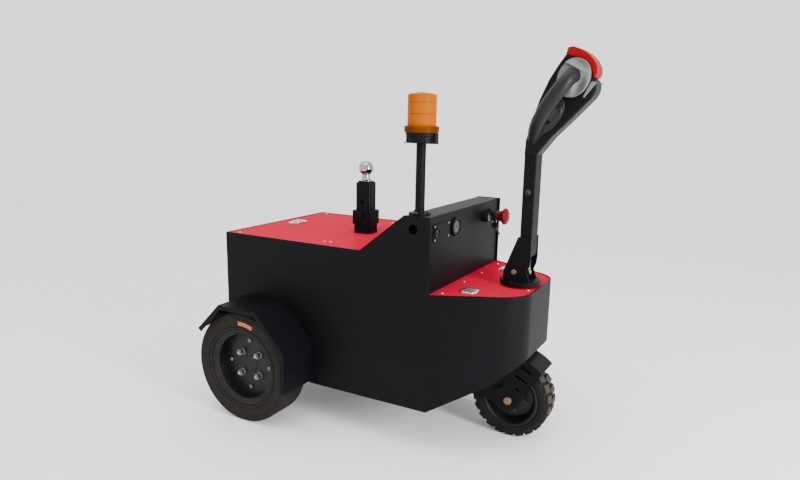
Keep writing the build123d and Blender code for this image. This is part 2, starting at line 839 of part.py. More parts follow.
# Thumb wheels, one on either side of the head: each has two dished wings, and a channel
# between them out of which the hand loop runs
grip_x = arm_x + grip_ahead
grip_z = arm_top_z + grip_up
head_face = head_half + seam
thumb_lean = radians(thumb_lean_deg)
thumb_plane = Plane(
    origin=(arm_x + thumb_ahead, 0, arm_top_z + thumb_up),
    x_dir=(sin(thumb_lean), 0, cos(thumb_lean)),
    z_dir=(0, -1, 0),
)
with BuildPart() as thumb_wheels:
    for side in (-1, 1):
        outward = -side
        with BuildSketch(thumb_plane.offset(outward * head_face)):
            SlotCenterToCenter(thumb_stretch, 2 * thumb_r)
        extrude(amount=outward * thumb_t)
        wing_top = head_face + thumb_t
        with BuildSketch(thumb_plane.offset(outward * wing_top)):
            with Locations((wing_foot, -wing_side)):
                Rectangle(3 * thumb_r, 3 * thumb_r, align=(Align.MAX, Align.MIN))
        extrude(amount=-outward * channel_depth, mode=Mode.SUBTRACT)
        upper_rise = wing_top + upper_dish_r - dish_depth
        with Locations(thumb_plane.offset(outward * upper_rise) * Location((upper_dish, 0, 0), (90, 0, 0))):
            Cylinder(upper_dish_r, 3 * thumb_r, mode=Mode.SUBTRACT)
        lower_rise = wing_top + lower_dish_r - dish_depth
        with Locations(thumb_plane.offset(outward * lower_rise) * Location(lower_dish)):
            Sphere(lower_dish_r, mode=Mode.SUBTRACT)
    with BuildSketch(Plane.XZ.offset(-2 * head_width)):
        with Locations((grip_x, grip_z)):
            Circle(grip_r + grip_gap)
    extrude(amount=4 * head_width, mode=Mode.SUBTRACT)
write(thumb_wheels, "thumb_wheels")

# Hand loops: out through each thumb wheel, down beside the head and back in to its foot, each
# in one moulding with the oval pad that it stands on
pad_foot = (31, 58)
pad_belly = (94, 92)
pad_nose = (111, 146)
pad_end = (100, 162)
pad_back = (81, 156)
pad_heel = (20, 66)
with BuildPart() as hand_loops:
    for side in (-1, 1):
        with BuildLine():
            FilletPolyline(
                (grip_x, side * head_face, grip_z),
                (grip_x, side * grip_reach, grip_z),
                (arm_x + elbow_ahead, side * elbow_reach, arm_top_z + elbow_up),
                (arm_x + root_ahead, side * root_reach, arm_top_z + root_up),
                radius=(40, 60),
            )
        with BuildSketch(Plane((grip_x, side * head_face, grip_z), z_dir=(0, side, 0))):
            Circle(grip_r)
        sweep()
    with BuildSketch(Plane.XZ):
        with Locations((grip_x, grip_z)):
            Rectangle(4 * grip_reach, 4 * grip_reach)
    extrude(amount=head_face, both=True, mode=Mode.SUBTRACT)
    for side in (-1, 1):
        with BuildSketch(head_plane.offset(-side * head_face)):
            with BuildLine():
                ThreePointArc(pad_foot, pad_belly, pad_nose)
                ThreePointArc(pad_nose, pad_end, pad_back)
                Polyline(pad_back, pad_heel, pad_foot)
            make_face()
        extrude(amount=-side * pad_t)
write(hand_loops, "hand_loops")

# Tow hitch: receiver tube with its collar, the shank and the ball
receiver_foot_z = rear_deck_z - receiver_depth
collar_z = rear_deck_z + collar_rise
collar_top_z = collar_z + collar_h
post_top_z = rear_deck_z + post_rise
pin_z = collar_z + pin_rise
post_hole_z = collar_top_z + post_hole_rise
with BuildPart() as hitch_receiver:
    with BuildSketch(Plane.XY.offset(receiver_foot_z)):
        with Locations((hitch_x, 0)):
            RectangleRounded(receiver_w, receiver_w, 6)
    extrude(amount=collar_top_z - receiver_foot_z)
    with BuildSketch(Plane.XY.offset(collar_z)):
        with Locations((hitch_x, 0)):
            RectangleRounded(collar_w, collar_w, 8)
    extrude(amount=collar_h)
    with BuildSketch(Plane.XY.offset(receiver_foot_z)):
        with Locations((hitch_x, 0)):
            Rectangle(post_w + 2 * seam, post_w + 2 * seam)
    extrude(amount=collar_top_z - receiver_foot_z, mode=Mode.SUBTRACT)
    with Locations(Location((hitch_x, 0, pin_z), (90, 0, 0))):
        Cylinder(pin_r + running, 2 * collar_w, mode=Mode.SUBTRACT)
write(hitch_receiver, "hitch_receiver")

with BuildPart() as hitch_post:
    with BuildSketch(Plane.XY.offset(receiver_foot_z + 10)):
        with Locations((hitch_x, 0)):
            Rectangle(post_w, post_w)
    extrude(amount=post_top_z - receiver_foot_z - 10)
    chamfer(hitch_post.faces().sort_by(Axis.Z)[-1].edges(), post_chamfer)
    fillet(hitch_post.edges().filter_by(Axis.Z), 4)
    with Locations(
        Location((hitch_x, 0, pin_z), (90, 0, 0)),
        Location((hitch_x, 0, post_hole_z), (90, 0, 0)),
    ):
        Cylinder(pin_r + running, 2 * post_w, mode=Mode.SUBTRACT)
write(hitch_post, "hitch_post")

with BuildPart() as hitch_pin:
    with Locations(Location((hitch_x, 0, pin_z), (90, 0, 0))):
        Cylinder(pin_r, collar_w + 10)
    with Locations(Location((hitch_x, -collar_w / 2 - seam, pin_z), (90, 0, 0))):
        Cylinder(pin_r + 5, 6, align=(Align.CENTER, Align.CENTER, Align.MIN))
write(hitch_pin, "hitch_pin")

ball_plane = Plane(origin=(hitch_x, 0, post_top_z), x_dir=(1, 0, 0), z_dir=(0, -1, 0))
ball_top = ball_rise + sqrt(ball_r**2 - ball_flat_r**2)
neck_top = ball_rise - sqrt(ball_r**2 - ball_neck_r**2)
with BuildPart() as tow_ball:
    with BuildSketch(ball_plane):
        with BuildLine():
            Line((0, ball_top), (ball_flat_r, ball_top))
            ThreePointArc((ball_flat_r, ball_top), (ball_r, ball_rise), (ball_neck_r, neck_top))
            Line((ball_neck_r, neck_top), (ball_neck_r, ball_skirt_h))
            ThreePointArc(
                (ball_neck_r, ball_skirt_h),
                (ball_neck_r + 2, ball_skirt_h / 2),
                (ball_skirt_r, 2),
            )
            Polyline((ball_skirt_r, 2), (ball_skirt_r, 0), (0, 0), (0, ball_top))
        make_face()
    revolve(axis=Axis(ball_plane.origin, (0, 0, 1)))
write(tow_ball, "tow_ball")

# Beacon on its pole: the ribbed base stands on a thin bracket whose end is turned up beside it
beacon_y = -(half_width - beacon_inset)
pole_top_z = riser_top_z + pole_rise
with BuildPart() as beacon_pole:
    with BuildSketch(Plane.XY.offset(riser_top)):
        with Locations((beacon_x, beacon_y)):
            Circle(pole_flange_r)
    extrude(amount=pole_flange_t)
    with BuildSketch(Plane.XY.offset(riser_top)):
        with Locations((beacon_x, beacon_y)):
            Circle(pole_r)
    extrude(amount=pole_top_z - riser_top)
write(beacon_pole, "beacon_pole")

with BuildPart() as beacon_base:
    with BuildSketch(Plane.XY.offset(pole_top_z)):
        with Locations((beacon_x, beacon_y)):
            RectangleRounded(bracket_len, bracket_w, 6)
    extrude(amount=bracket_t)
    with BuildSketch(Plane.YZ.offset(beacon_x + bracket_len / 2)):
        with Locations((beacon_y, pole_top_z + strap_h / 2)):
            Rectangle(strap_w, strap_h)
    extrude(amount=-bracket_t)
    with BuildSketch(Plane.XY.offset(pole_top_z + bracket_t)):
        with Locations((beacon_x, beacon_y)):
            Circle(beacon_base_r - beacon_rib_d)
            with PolarLocations(beacon_base_r - beacon_rib_d, beacon_ribs):
                Rectangle(2 * beacon_rib_d, beacon_rib_w)
    extrude(amount=beacon_base_h - bracket_t)
    with BuildSketch(Plane.XY.offset(pole_top_z + beacon_base_h - beacon_rim_h)):
        with Locations((beacon_x, beacon_y)):
            Circle(beacon_base_r)
    extrude(amount=beacon_rim_h)
write(beacon_base, "beacon_base")

lens_z = pole_top_z + beacon_base_h
beacon_plane = Plane(origin=(beacon_x, beacon_y, lens_z), x_dir=(1, 0, 0), z_dir=(0, -1, 0))
with BuildPart() as beacon_lens:
    with BuildSketch(beacon_plane):
        with BuildLine():
            Polyline(
                (0, beacon_lens_h + beacon_dome_h),
                (0, 0),
                (beacon_flange_r, 0),
                (beacon_flange_r, beacon_flange_h),
                (beacon_lens_r, beacon_flange_h),
                (beacon_lens_r, beacon_lens_h),
                (beacon_lens_r * 0.8, beacon_lens_h + beacon_dome_h * 0.7),
                close=True,
            )
        make_face()
        for groove_z in (lower_groove, upper_groove):
            with Locations((beacon_lens_r, groove_z)):
                Rectangle(2 * groove_depth, groove_h, mode=Mode.SUBTRACT)
    revolve(axis=Axis(beacon_plane.origin, (0, 0, 1)))
write(beacon_lens, "beacon_lens")

# Dash controls
socket_face_x = dash_x + socket_plate_t
with BuildPart() as charge_socket:
    with BuildSketch(Plane.YZ.offset(dash_x)):
        with Locations((socket_y, controls_z)):
            RectangleRounded(socket_plate_w, socket_plate_h, 4)
    extrude(amount=socket_plate_t)
    with BuildSketch(Plane.YZ.offset(socket_face_x)):
        with Locations((socket_y - socket_offset, controls_z)):
            Circle(socket_r)
            Circle(socket_r - socket_wall, mode=Mode.SUBTRACT)
    extrude(amount=3)
write(charge_socket, "charge_socket")

with BuildPart() as battery_gauge:
    with BuildSketch(Plane.YZ.offset(dash_x)):
        with Locations((gauge_y, controls_z)):
            Circle(gauge_bezel_r)
    extrude(amount=7)
    with BuildSketch(Plane.YZ.offset(dash_x + 7)):
        with Locations((gauge_y, controls_z)):
            Circle(gauge_bezel_r - 4)
    extrude(amount=-3, mode=Mode.SUBTRACT)
    with BuildSketch(Plane.YZ.offset(dash_x)):
        with Locations((gauge_y, controls_z)):
            Circle(gauge_r - 1)
    extrude(amount=-30)
write(battery_gauge, "battery_gauge")

with BuildPart() as key_switch:
    with BuildSketch(Plane.YZ.offset(dash_x)):
        with Locations((key_y, controls_z)):
            Circle(key_r + 5)
    extrude(amount=20)
    with BuildSketch(Plane.YZ.offset(dash_x)):
        with Locations((key_y, controls_z)):
            Circle(key_r - 1)
    extrude(amount=-25)
write(key_switch, "key_switch")

stop_plane = Plane(origin=(dash_x, stop_y, controls_z), x_dir=(0, 0, 1), z_dir=(0, -1, 0))
with BuildPart() as emergency_stop:
    with BuildSketch(stop_plane):
        with BuildLine():
            Polyline(
                (0, stop_shank),
                (stop_neck_r - 1, stop_shank),
                (stop_neck_r - 1, -seam),
                (stop_neck_r + 6, -seam),
                (stop_neck_r + 6, -stop_foot_t),
                (stop_neck_r, -stop_foot_t),
                (stop_neck_r, 22 - stop_cap_rise),
            )
            ThreePointArc(
                (stop_neck_r, 22 - stop_cap_rise),
                (stop_neck_r + 3.5, 9 - stop_cap_rise),
                (stop_cap_r, -stop_cap_rise),
            )
            ThreePointArc(
                (stop_cap_r, -stop_cap_rise),
                (stop_cap_r - 4, 5 - stop_top_rise),
                (stop_cap_r / 2, -stop_top_rise),
            )
            Polyline((stop_cap_r / 2, -stop_top_rise), (0, -stop_top_rise), (0, stop_shank))
        make_face()
    revolve(axis=Axis(stop_plane.origin, (1, 0, 0)))
write(emergency_stop, "emergency_stop")
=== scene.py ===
import math

import bmesh
import bpy
from mathutils import Matrix, Vector


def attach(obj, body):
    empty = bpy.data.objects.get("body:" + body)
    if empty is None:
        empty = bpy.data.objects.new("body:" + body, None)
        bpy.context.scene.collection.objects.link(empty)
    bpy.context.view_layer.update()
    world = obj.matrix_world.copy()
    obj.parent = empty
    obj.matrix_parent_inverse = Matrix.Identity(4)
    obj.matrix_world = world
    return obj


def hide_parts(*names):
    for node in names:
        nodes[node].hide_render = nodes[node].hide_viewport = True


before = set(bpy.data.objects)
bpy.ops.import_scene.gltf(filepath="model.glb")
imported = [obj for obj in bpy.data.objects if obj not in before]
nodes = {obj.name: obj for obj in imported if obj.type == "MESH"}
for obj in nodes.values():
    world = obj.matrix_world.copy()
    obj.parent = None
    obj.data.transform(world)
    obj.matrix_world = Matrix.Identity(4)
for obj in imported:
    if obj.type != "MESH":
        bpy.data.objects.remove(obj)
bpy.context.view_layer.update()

# Camera, at the place the picture was taken from: beside the tug, ahead of it and level with
# its beacon, with the small roll of a hand-held shot.
camera = bpy.data.objects.new("camera", bpy.data.cameras.new("camera"))
bpy.context.collection.objects.link(camera)
camera.data.sensor_width = 36
camera.data.lens = 29.13
camera.data.shift_x = -0.0119
camera.data.shift_y = 0.0089
camera.data.clip_end = 100
camera_spot = (1.00155, -1.86009, 0.99716)
camera_right = (0.878093, 0.478001, 0.021640)
camera_up = (-0.115993, 0.168766, 0.978807)
camera_back = (0.464219, -0.861994, 0.203637)
camera_turn = Matrix((camera_right, camera_up, camera_back)).transposed()
camera.matrix_world = Matrix.Translation(camera_spot) @ camera_turn.to_4x4()
bpy.context.scene.camera = camera

# Studio: a pale floor that sweeps up into a wall all round, open to a white sky, with a broad
# soft lamp overhead, a tall one ahead of the tiller that draws the highlight on the nose, and
# a weak one on the camera's side, behind the tug
floor_flat_r = 5.0
floor_bend_r = 3.0
floor_bend_steps = 16
floor_steps_round = 96
floor_white = (0.93, 0.93, 0.93, 1)
sky_strength = 1.7


def placed(name, shape):
    """Put a shape into the scene as an object."""
    data = bpy.data.meshes.new(name)
    shape.to_mesh(data)
    shape.free()
    thing = bpy.data.objects.new(name, data)
    bpy.context.collection.objects.link(thing)
    return thing


sweep = bmesh.new()
sweep_line = [sweep.verts.new((0, 0, 0)), sweep.verts.new((floor_flat_r, 0, 0))]
for step in range(1, floor_bend_steps + 1):
    bend = math.tau / 4 * step / floor_bend_steps
    reach = floor_flat_r + floor_bend_r * math.sin(bend)
    sweep_line.append(sweep.verts.new((reach, 0, floor_bend_r * (1 - math.cos(bend)))))
sweep_edges = [sweep.edges.new(pair) for pair in zip(sweep_line, sweep_line[1:])]
bmesh.ops.spin(
    sweep, geom=sweep_line + sweep_edges, cent=(0, 0, 0), axis=(0, 0, 1), angle=math.tau,
    steps=floor_steps_round, use_merge=True,
)
bmesh.ops.remove_doubles(sweep, verts=sweep.verts, dist=1e-5)
bmesh.ops.recalc_face_normals(sweep, faces=sweep.faces)
floor = placed("floor", sweep)
floor.data.shade_smooth()
floor_paint = bpy.data.materials.new("floor")
floor_paint.use_nodes = True
floor_shader = floor_paint.node_tree.nodes["Principled BSDF"]
floor_shader.inputs["Base Color"].default_value = floor_white
floor_shader.inputs["Roughness"].default_value = 0.7
floor_shader.inputs["Specular IOR Level"].default_value = 0.2
floor.data.materials.append(floor_paint)

sky = bpy.data.worlds.new("studio")
sky.use_nodes = True
sky.node_tree.nodes["Background"].inputs["Color"].default_value = (1, 1, 1, 1)
sky.node_tree.nodes["Background"].inputs["Strength"].default_value = sky_strength
bpy.context.scene.world = sky

for name, place, aim, size, watts in (
    ("overhead", (-0.3, -0.6, 3.4), (0, 0, 0.4), (2.6, 2.6), 50),
    ("tiller_end", (3.4, -1.1, 1.3), (0.3, 0, 0.5), (0.7, 2.0), 170),
    ("fill", (-1.8, -3.4, 1.6), (0, 0, 0.5), (2.4, 2.0), 8),
):
    lamp_data = bpy.data.lights.new(name, "AREA")
    lamp_data.shape = "RECTANGLE"
    lamp_data.size, lamp_data.size_y = size
    lamp_data.energy = watts
    lamp = bpy.data.objects.new(name, lamp_data)
    bpy.context.collection.objects.link(lamp)
    lamp.location = place
    lamp.rotation_mode = "QUATERNION"
    lamp.rotation_quaternion = (Vector(aim) - Vector(place)).to_track_quat("-Z", "Y")

# Body: a shell of folded and welded steel plate, powder-coated black with a fine texture. The
# same coat covers the fenders, the riser, the steering fork and the tiller.
body_black = (0.0024, 0.0026, 0.0034)


class Pattern:
    """A value that changes over a surface, written as sums and products of others."""

    def __init__(self, finish, socket):
        self.finish = finish
        self.socket = socket

    def math(self, operation, *others):
        inputs = dict(enumerate((self, *others)))
        return self.finish.node("ShaderNodeMath", {"operation": operation}, inputs)

    def __add__(self, other):
        return self.math("ADD", other)

    def __sub__(self, other):
        return self.math("SUBTRACT", other)

    def __mul__(self, other):
        return self.math("MULTIPLY", other)

    def __rsub__(self, other):
        return self.math("MULTIPLY_ADD", -1.0, other)

    __radd__ = __add__
    __rmul__ = __mul__

    def clamp(self):
        held = self.math("MAXIMUM", 0.0)
        return held.math("MINIMUM", 1.0)


class Finish:
    """One procedural material: a principled shader, its constants, and what varies over it."""

    def __init__(self, name, color, roughness, **constants):
        self.material = bpy.data.materials.new(name)
        self.material.use_nodes = True
        self.tree = self.material.node_tree
        self.shader = self.tree.nodes["Principled BSDF"]
        self.shader.inputs["Base Color"].default_value = (*color, 1)
        self.shader.inputs["Roughness"].default_value = roughness
        for socket_name, value in constants.items():
            self.shader.inputs[socket_name.replace("_", " ")].default_value = value

    def feed(self, socket, value):
        if isinstance(value, Pattern):
            self.tree.links.new(value.socket, socket)
        elif isinstance(value, tuple) and len(value) == 3 and socket.type == "RGBA":
            socket.default_value = (*value, 1)
        else:
            socket.default_value = value

    def node(self, kind, settings=None, inputs=None, output=0):
        made = self.tree.nodes.new(kind)
        for key, value in (settings or {}).items():
            setattr(made, key, value)
        for key, value in (inputs or {}).items():
            self.feed(made.inputs[key], value)
        return Pattern(self, made.outputs[output])

    def place(self, shift=(0, 0, 0)):
        """Object coordinates in metres, shifted."""
        at = self.node("ShaderNodeTexCoord", output="Object")
        return self.node("ShaderNodeMapping", inputs={"Vector": at, "Location": shift})

    def noise(self, scale, detail=2.0):
        values = {"Vector": self.place(), "Scale": scale, "Detail": detail}
        return self.node("ShaderNodeTexNoise", inputs=values)

    def tint(self, factor, first, second):
        """Colour the surface between two shades."""
        values = {"Factor": factor, 6: first, 7: second}
        shade = self.node("ShaderNodeMix", {"data_type": "RGBA"}, values, output=2)
        self.feed(self.shader.inputs["Base Color"], shade)

    def roughen(self, value):
        self.feed(self.shader.inputs["Roughness"], value)

    def cloud(self, scale, detail, first, second, least=0.0, swing=0.0):
        """Let clouds run between two shades, and between a least roughness and a swing above it."""
        haze = self.noise(scale, detail)
        self.tint(haze, first, second)
        if swing:
            self.roughen(least + haze * swing)

    def bump(self, height, depth, strength=0.5):
        values = {"Height": height, "Distance": depth, "Strength": strength}
        self.feed(self.shader.inputs["Normal"], self.node("ShaderNodeBump", inputs=values))

    def on(self, *pieces):
        for piece in pieces:
            piece.data.materials.clear()
            piece.data.materials.append(self.material)


def powder_coat(name, color, roughness=0.46, grain=0.00005, gloss=0.07):
    """Paint baked on as powder: faintly cloudy, with a fine orange-peel grain."""
    coat = Finish(name, color, roughness, Specular_IOR_Level=gloss)
    cloud = coat.noise(3.0, 3.0)
    fine = coat.noise(900.0)
    lighter = tuple(channel * 1.35 for channel in color)
    coat.tint(cloud, color, lighter)
    coat.roughen(roughness - 0.04 + fine * 0.1 + cloud * 0.05)
    coat.bump(fine, grain, 0.6)
    return coat


black_coat = powder_coat("black_coat", body_black)
for node in nodes.values():
    black_coat.on(node)

# Decks: sheet powder-coated in red, smoother than the body. A lid and a fixed plate cover the
# rear one and a plate the front one, all on ledges inside the shell.
red_coat = powder_coat("red_coat", (0.40, 0.0030, 0.024), 0.30, 0.00003, 0.001)
red_coat.on(nodes["rear_deck_lid"], nodes["rear_deck_plate"], nodes["front_deck_plate"])

# Deck screws: zinc-plated button heads with a socket, along the edges of the lid and of both
# deck plates
zinc = Finish("zinc", (0.46, 0.46, 0.44), 0.34, Metallic=1.0)
zinc.roughen(0.28 + zinc.noise(400.0) * 0.12)
ahead, leftward, upward = Vector((1, 0, 0)), Vector((0, 1, 0)), Vector((0, 0, 1))
rear_deck_top = 0.5905
front_deck_top = 0.4875
screw_r = 0.0042
screw_h = 0.0024
screw_spots = {  # height of the deck: x and y of its screws
    rear_deck_top: (
        (-0.515, 0.248), (-0.515, -0.248), (-0.19, 0.216), (-0.19, -0.216), (-0.17, 0.211), (-0.17, -0.211),
    ),
    front_deck_top: (
        (0.232, -0.226), (0.232, -0.07), (0.232, 0.07), (0.232, 0.219), (0.434, -0.058), (0.434, 0.045),
    ),
}


def fitted(name, shape, body, finish, replaced=(), crease=35):
    """Make a finished shape into a piece that rides on a body of the tug."""
    piece = placed(name, shape)
    piece.data.shade_smooth()
    piece.data.set_sharp_from_angle(angle=math.radians(crease))
    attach(piece, body)
    even = piece.modifiers.new("even", "WEIGHTED_NORMAL")
    even.keep_sharp = True
    even.weight = 80
    if replaced:
        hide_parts(*replaced)
    finish.on(piece)


def joined(shape, part):
    """Add a part's mesh to a shape."""
    carried = bpy.data.meshes.new("carried")
    part.to_mesh(carried)
    part.free()
    shape.from_mesh(carried)
    bpy.data.meshes.remove(carried)


def turned(shape, profile, centre, axis, steps=48):
    """Spin a profile of (radius, height) corners all round an axis."""
    turn = Vector(axis).to_track_quat("Z", "Y").to_matrix()
    made = bmesh.new()
    corners = [made.verts.new(Vector(centre) + turn @ Vector((r, 0, h))) for r, h in profile]
    edges = [made.edges.new(pair) for pair in zip(corners, corners[1:])]
    bmesh.ops.spin(
        made, geom=corners + edges, cent=centre, axis=axis, angle=math.tau, steps=steps, use_merge=True
    )
    bmesh.ops.remove_doubles(made, verts=made.verts, dist=1e-6)
    bmesh.ops.recalc_face_normals(made, faces=made.faces)
    joined(shape, made)


def screw_head(shape, centre, axis, r, h):
    """A button head with its socket, standing on a surface."""
    dome = [(r, 0), (r, h * 0.35), (r * 0.86, h * 0.78), (r * 0.62, h), (r * 0.5, h), (r * 0.5, h * 0.4)]
    turned(shape, [*dome, (0, h * 0.4)], centre, axis, 18)


deck_screws = bmesh.new()
for deck_z, spots in screw_spots.items():
    for x, y in spots:
        screw_head(deck_screws, (x, y, deck_z), upward, screw_r, screw_h)
fitted("deck_screws", deck_screws, "chassis", zinc)

# Deck latches: slam latches of satin-chromed pressed steel, each an oblong plate with three
# raised bars across it, and a ring pull folded down in the rear one
satin_chrome = Finish("satin_chrome", (0.58, 0.59, 0.58), 0.24, Metallic=1.0)
satin_chrome.roughen(0.20 + satin_chrome.noise(120.0) * 0.12)
latch_spot = (0.29, 0.161, front_deck_top)
latch_t = 0.0016
bar_l = 0.047         # of the middle bar
bar_shorter = 0.005   # what the bars beside it lack
bar_w = 0.0128
bar_pitch = 0.0168
bar_foot = 0.0012
bar_t = 0.0042
ring_spot = (-0.485, 0.025, rear_deck_top)
ring_foot = 0.0016
ring_stretch = 1.38
tongue_foot = 0.0015


def plated(shape, corners, origin, across, up, depth, soft=0.0, steps=2):
    """Add a flat plate: an outline drawn across and up from an origin, given a thickness."""
    made = bmesh.new()
    across, up = Vector(across), Vector(up)
    rim = [made.verts.new(Vector(origin) + across * u + up * v) for u, v in corners]
    face = made.faces.new(rim)
    grown = bmesh.ops.extrude_face_region(made, geom=[face])
    lifted = [item for item in grown["geom"] if isinstance(item, bmesh.types.BMVert)]
    bmesh.ops.translate(made, verts=lifted, vec=across.cross(up) * depth)
    bmesh.ops.recalc_face_normals(made, faces=made.faces)
    if soft:
        bmesh.ops.bevel(
            made, geom=made.edges, offset=soft, segments=steps, profile=0.5, affect="EDGES",
            material=-1, clamp_overlap=True,
        )
    joined(shape, made)


def rounded(width, height, radius, steps=5):
    """Outline of an oblong with round corners, about its middle."""
    corners = []
    for turn, (x, y) in enumerate(((1, 1), (-1, 1), (-1, -1), (1, -1))):
        for step in range(steps + 1):
            angle = math.tau / 4 * (turn + step / steps)
            corners.append((
                x * (width / 2 - radius) + radius * math.cos(angle),
                y * (height / 2 - radius) + radius * math.sin(angle),
            ))
    return corners


def mirrored(spot, side):
    """The same place on one side of the tug or the other."""
    return (spot[0], side * spot[1], spot[2])


latches = bmesh.new()
for side in (-1, 1):
    x, y, z = mirrored(latch_spot, side)
    plated(latches, rounded(0.052, 0.058, 0.014), (x, y, z), ahead, leftward, latch_t, 0.0005)
    for bar in (-1, 0, 1):
        bar_outline = rounded(bar_l - bar_shorter * abs(bar), bar_w, 0.0058)
        bar_spot = (x, y + bar * bar_pitch, z + bar_foot)
        plated(latches, bar_outline, bar_spot, ahead, leftward, bar_t, 0.0018, 3)
fitted("deck_latch_set", latches, "chassis", satin_chrome, ("front_deck_latches",))

ring_latch = bmesh.new()
plated(ring_latch, rounded(0.044, 0.064, 0.0219, 8), ring_spot, ahead, leftward, 0.0018, 0.0006)
turned(ring_latch, [
    (0.021, ring_foot), (0.021, 0.0045), (0.019, 0.0058), (0.0165, 0.0058), (0.015, 0.0045),
    (0.015, ring_foot),
], ring_spot, upward, 40)
bmesh.ops.scale(
    ring_latch, vec=(1, ring_stretch, 1), space=Matrix.Translation((-ring_spot[0], -ring_spot[1], 0)),
    verts=[corner for corner in ring_latch.verts if corner.co.z > rear_deck_top + ring_foot],
)
tongue_spot = (ring_spot[0], ring_spot[1], rear_deck_top + tongue_foot)
plated(ring_latch, rounded(0.012, 0.02, 0.004), tongue_spot, ahead, leftward, 0.002, 0.0006)
fitted("ring_latch", ring_latch, "chassis", satin_chrome, ("rear_ring_latch",))

# Fenders: bent steel strip under the body's coat, welded to the side plates over each rear
# wheel, with its cut edges broken
fender_edge = 0.0012
sharp_angle = 0.6   # in radians: an edge that folds more is rounded off


def softened(name, node_name, body, finish, width, steps=2, tools=None):
    """Stand in for a solid with the same form, its sharp edges rounded off."""
    shape = bmesh.new()
    shape.from_mesh(nodes[node_name].data)
    bmesh.ops.remove_doubles(shape, verts=shape.verts, dist=1e-5)
    if tools:
        shape = cut(shape, tools)
    bmesh.ops.dissolve_limit(shape, angle_limit=math.radians(1), verts=shape.verts, edges=shape.edges)
    sharp = [edge for edge in shape.edges if edge.is_manifold and edge.calc_face_angle() > sharp_angle]
    bmesh.ops.bevel(
        shape, geom=sharp, offset=width, segments=steps, profile=0.5, affect="EDGES", material=-1,
        clamp_overlap=True,
    )
    fitted(name, shape, body, finish, (node_name,), 50)


softened("fender_pair", "fenders", "chassis", black_coat, fender_edge)

# Rear tyres: industrial pneumatic tyres of black rubber gone brown with dust, with fine ribs
# round the tread
rubber = Finish("rubber", (0.008, 0.0066, 0.0052), 0.8, Specular_IOR_Level=0.2)
dust_cloud = rubber.noise(14.0, 5.0)
rubber.tint((dust_cloud - 0.35).clamp() * 1.6, (0.0060, 0.0048, 0.0038), (0.0180, 0.0140, 0.0105))
rubber.roughen(0.72 + dust_cloud * 0.2)
rubber.bump(rubber.noise(420.0, 3.0), 0.0002)
sides = ((-1, "right"), (1, "left"))
tyre_r = 0.182
tyre_half = 0.0525
rear_axle = (-0.394, 0.3395, tyre_r)
bead_r = 0.126
tread_grooves = 6
tread_half = tyre_half - 0.0075
groove_pitch = 2 * tread_half / tread_grooves
groove_half = 0.002
groove_floor_half = 0.001
groove_d = 0.0035
tread_profile = []
for groove in range(tread_grooves):
    middle = tread_half - groove_pitch * (groove + 0.5)
    for reach, height in ((groove_half, 0), (groove_floor_half, -groove_d),
                          (-groove_floor_half, -groove_d), (-groove_half, 0)):
        tread_profile.append((tyre_r + height, middle + reach))
sidewall = [
    (bead_r, tyre_half - 0.004), (bead_r + 0.002, tyre_half - 0.001), (bead_r + 0.006, tyre_half),
    (bead_r + 0.009, tyre_half - 0.0006), (bead_r + 0.010, tyre_half - 0.0022),
    (bead_r + 0.012, tyre_half - 0.0022), (bead_r + 0.0135, tyre_half - 0.0004),
    (bead_r + 0.024, tyre_half + 0.0008), (tyre_r - 0.016, tyre_half + 0.0004),
    (tyre_r - 0.0145, tyre_half - 0.0008), (tyre_r - 0.0125, tyre_half - 0.0002),
    (tyre_r - 0.006, tyre_half - 0.0008), (tyre_r - 0.0022, tyre_half - 0.0035),
    (tyre_r, tread_half),
]
inner_wall = [(r, -h) for r, h in reversed(sidewall)]
for side, label in sides:
    tyre = bmesh.new()
    tyre_profile = [*sidewall, *tread_profile, *inner_wall, sidewall[0]]
    turned(tyre, tyre_profile, mirrored(rear_axle, side), (0, side, 0), 88)
    fitted(f"ribbed_tyre_{label}", tyre, f"rear_wheel_{label}", rubber,
           (f"rear_tyre_{label}",), 28)

# Tyre patch: a blank label of orange paper, stuck to the sidewall of the near rear tyre and
# scuffed by the road
patch_paper = Finish("patch_paper", (0.42, 0.13, 0.06), 0.7, Specular_IOR_Level=0.3)
scuffs = patch_paper.noise(220.0, 4.0)
patch_paper.tint((scuffs - 0.4).clamp() * 2.2, (0.46, 0.14, 0.065), (0.16, 0.06, 0.04))
patch_middle = (rear_axle[0], -0.3932, rear_axle[2])
patch_start = math.radians(92)
patch_sweep = math.radians(22)
patch_inner_r = 0.143
patch_outer_r = 0.156
patch_t = 0.0004


def around(middle, axis, r, angle):
    """A place at a radius and an angle from a middle, in the plane square to an axis."""
    x, y, z = middle
    u, v = r * math.cos(angle), r * math.sin(angle)
    return {"x": (x, y + u, z + v), "y": (x + u, y, z + v), "z": (x + u, y + v, z)}[axis]


patch = bmesh.new()
strip = [patch.verts.new(around(patch_middle, "y", r, patch_start)) for r in (patch_inner_r, patch_outer_r)]
band = patch.edges.new(strip)
bmesh.ops.spin(patch, geom=[*strip, band], cent=patch_middle, axis=(0, -1, 0), angle=-patch_sweep, steps=10)
bmesh.ops.solidify(patch, geom=patch.faces, thickness=patch_t)
bmesh.ops.recalc_face_normals(patch, faces=patch.faces)
fitted("tyre_patch", patch, "rear_wheel_right", patch_paper)

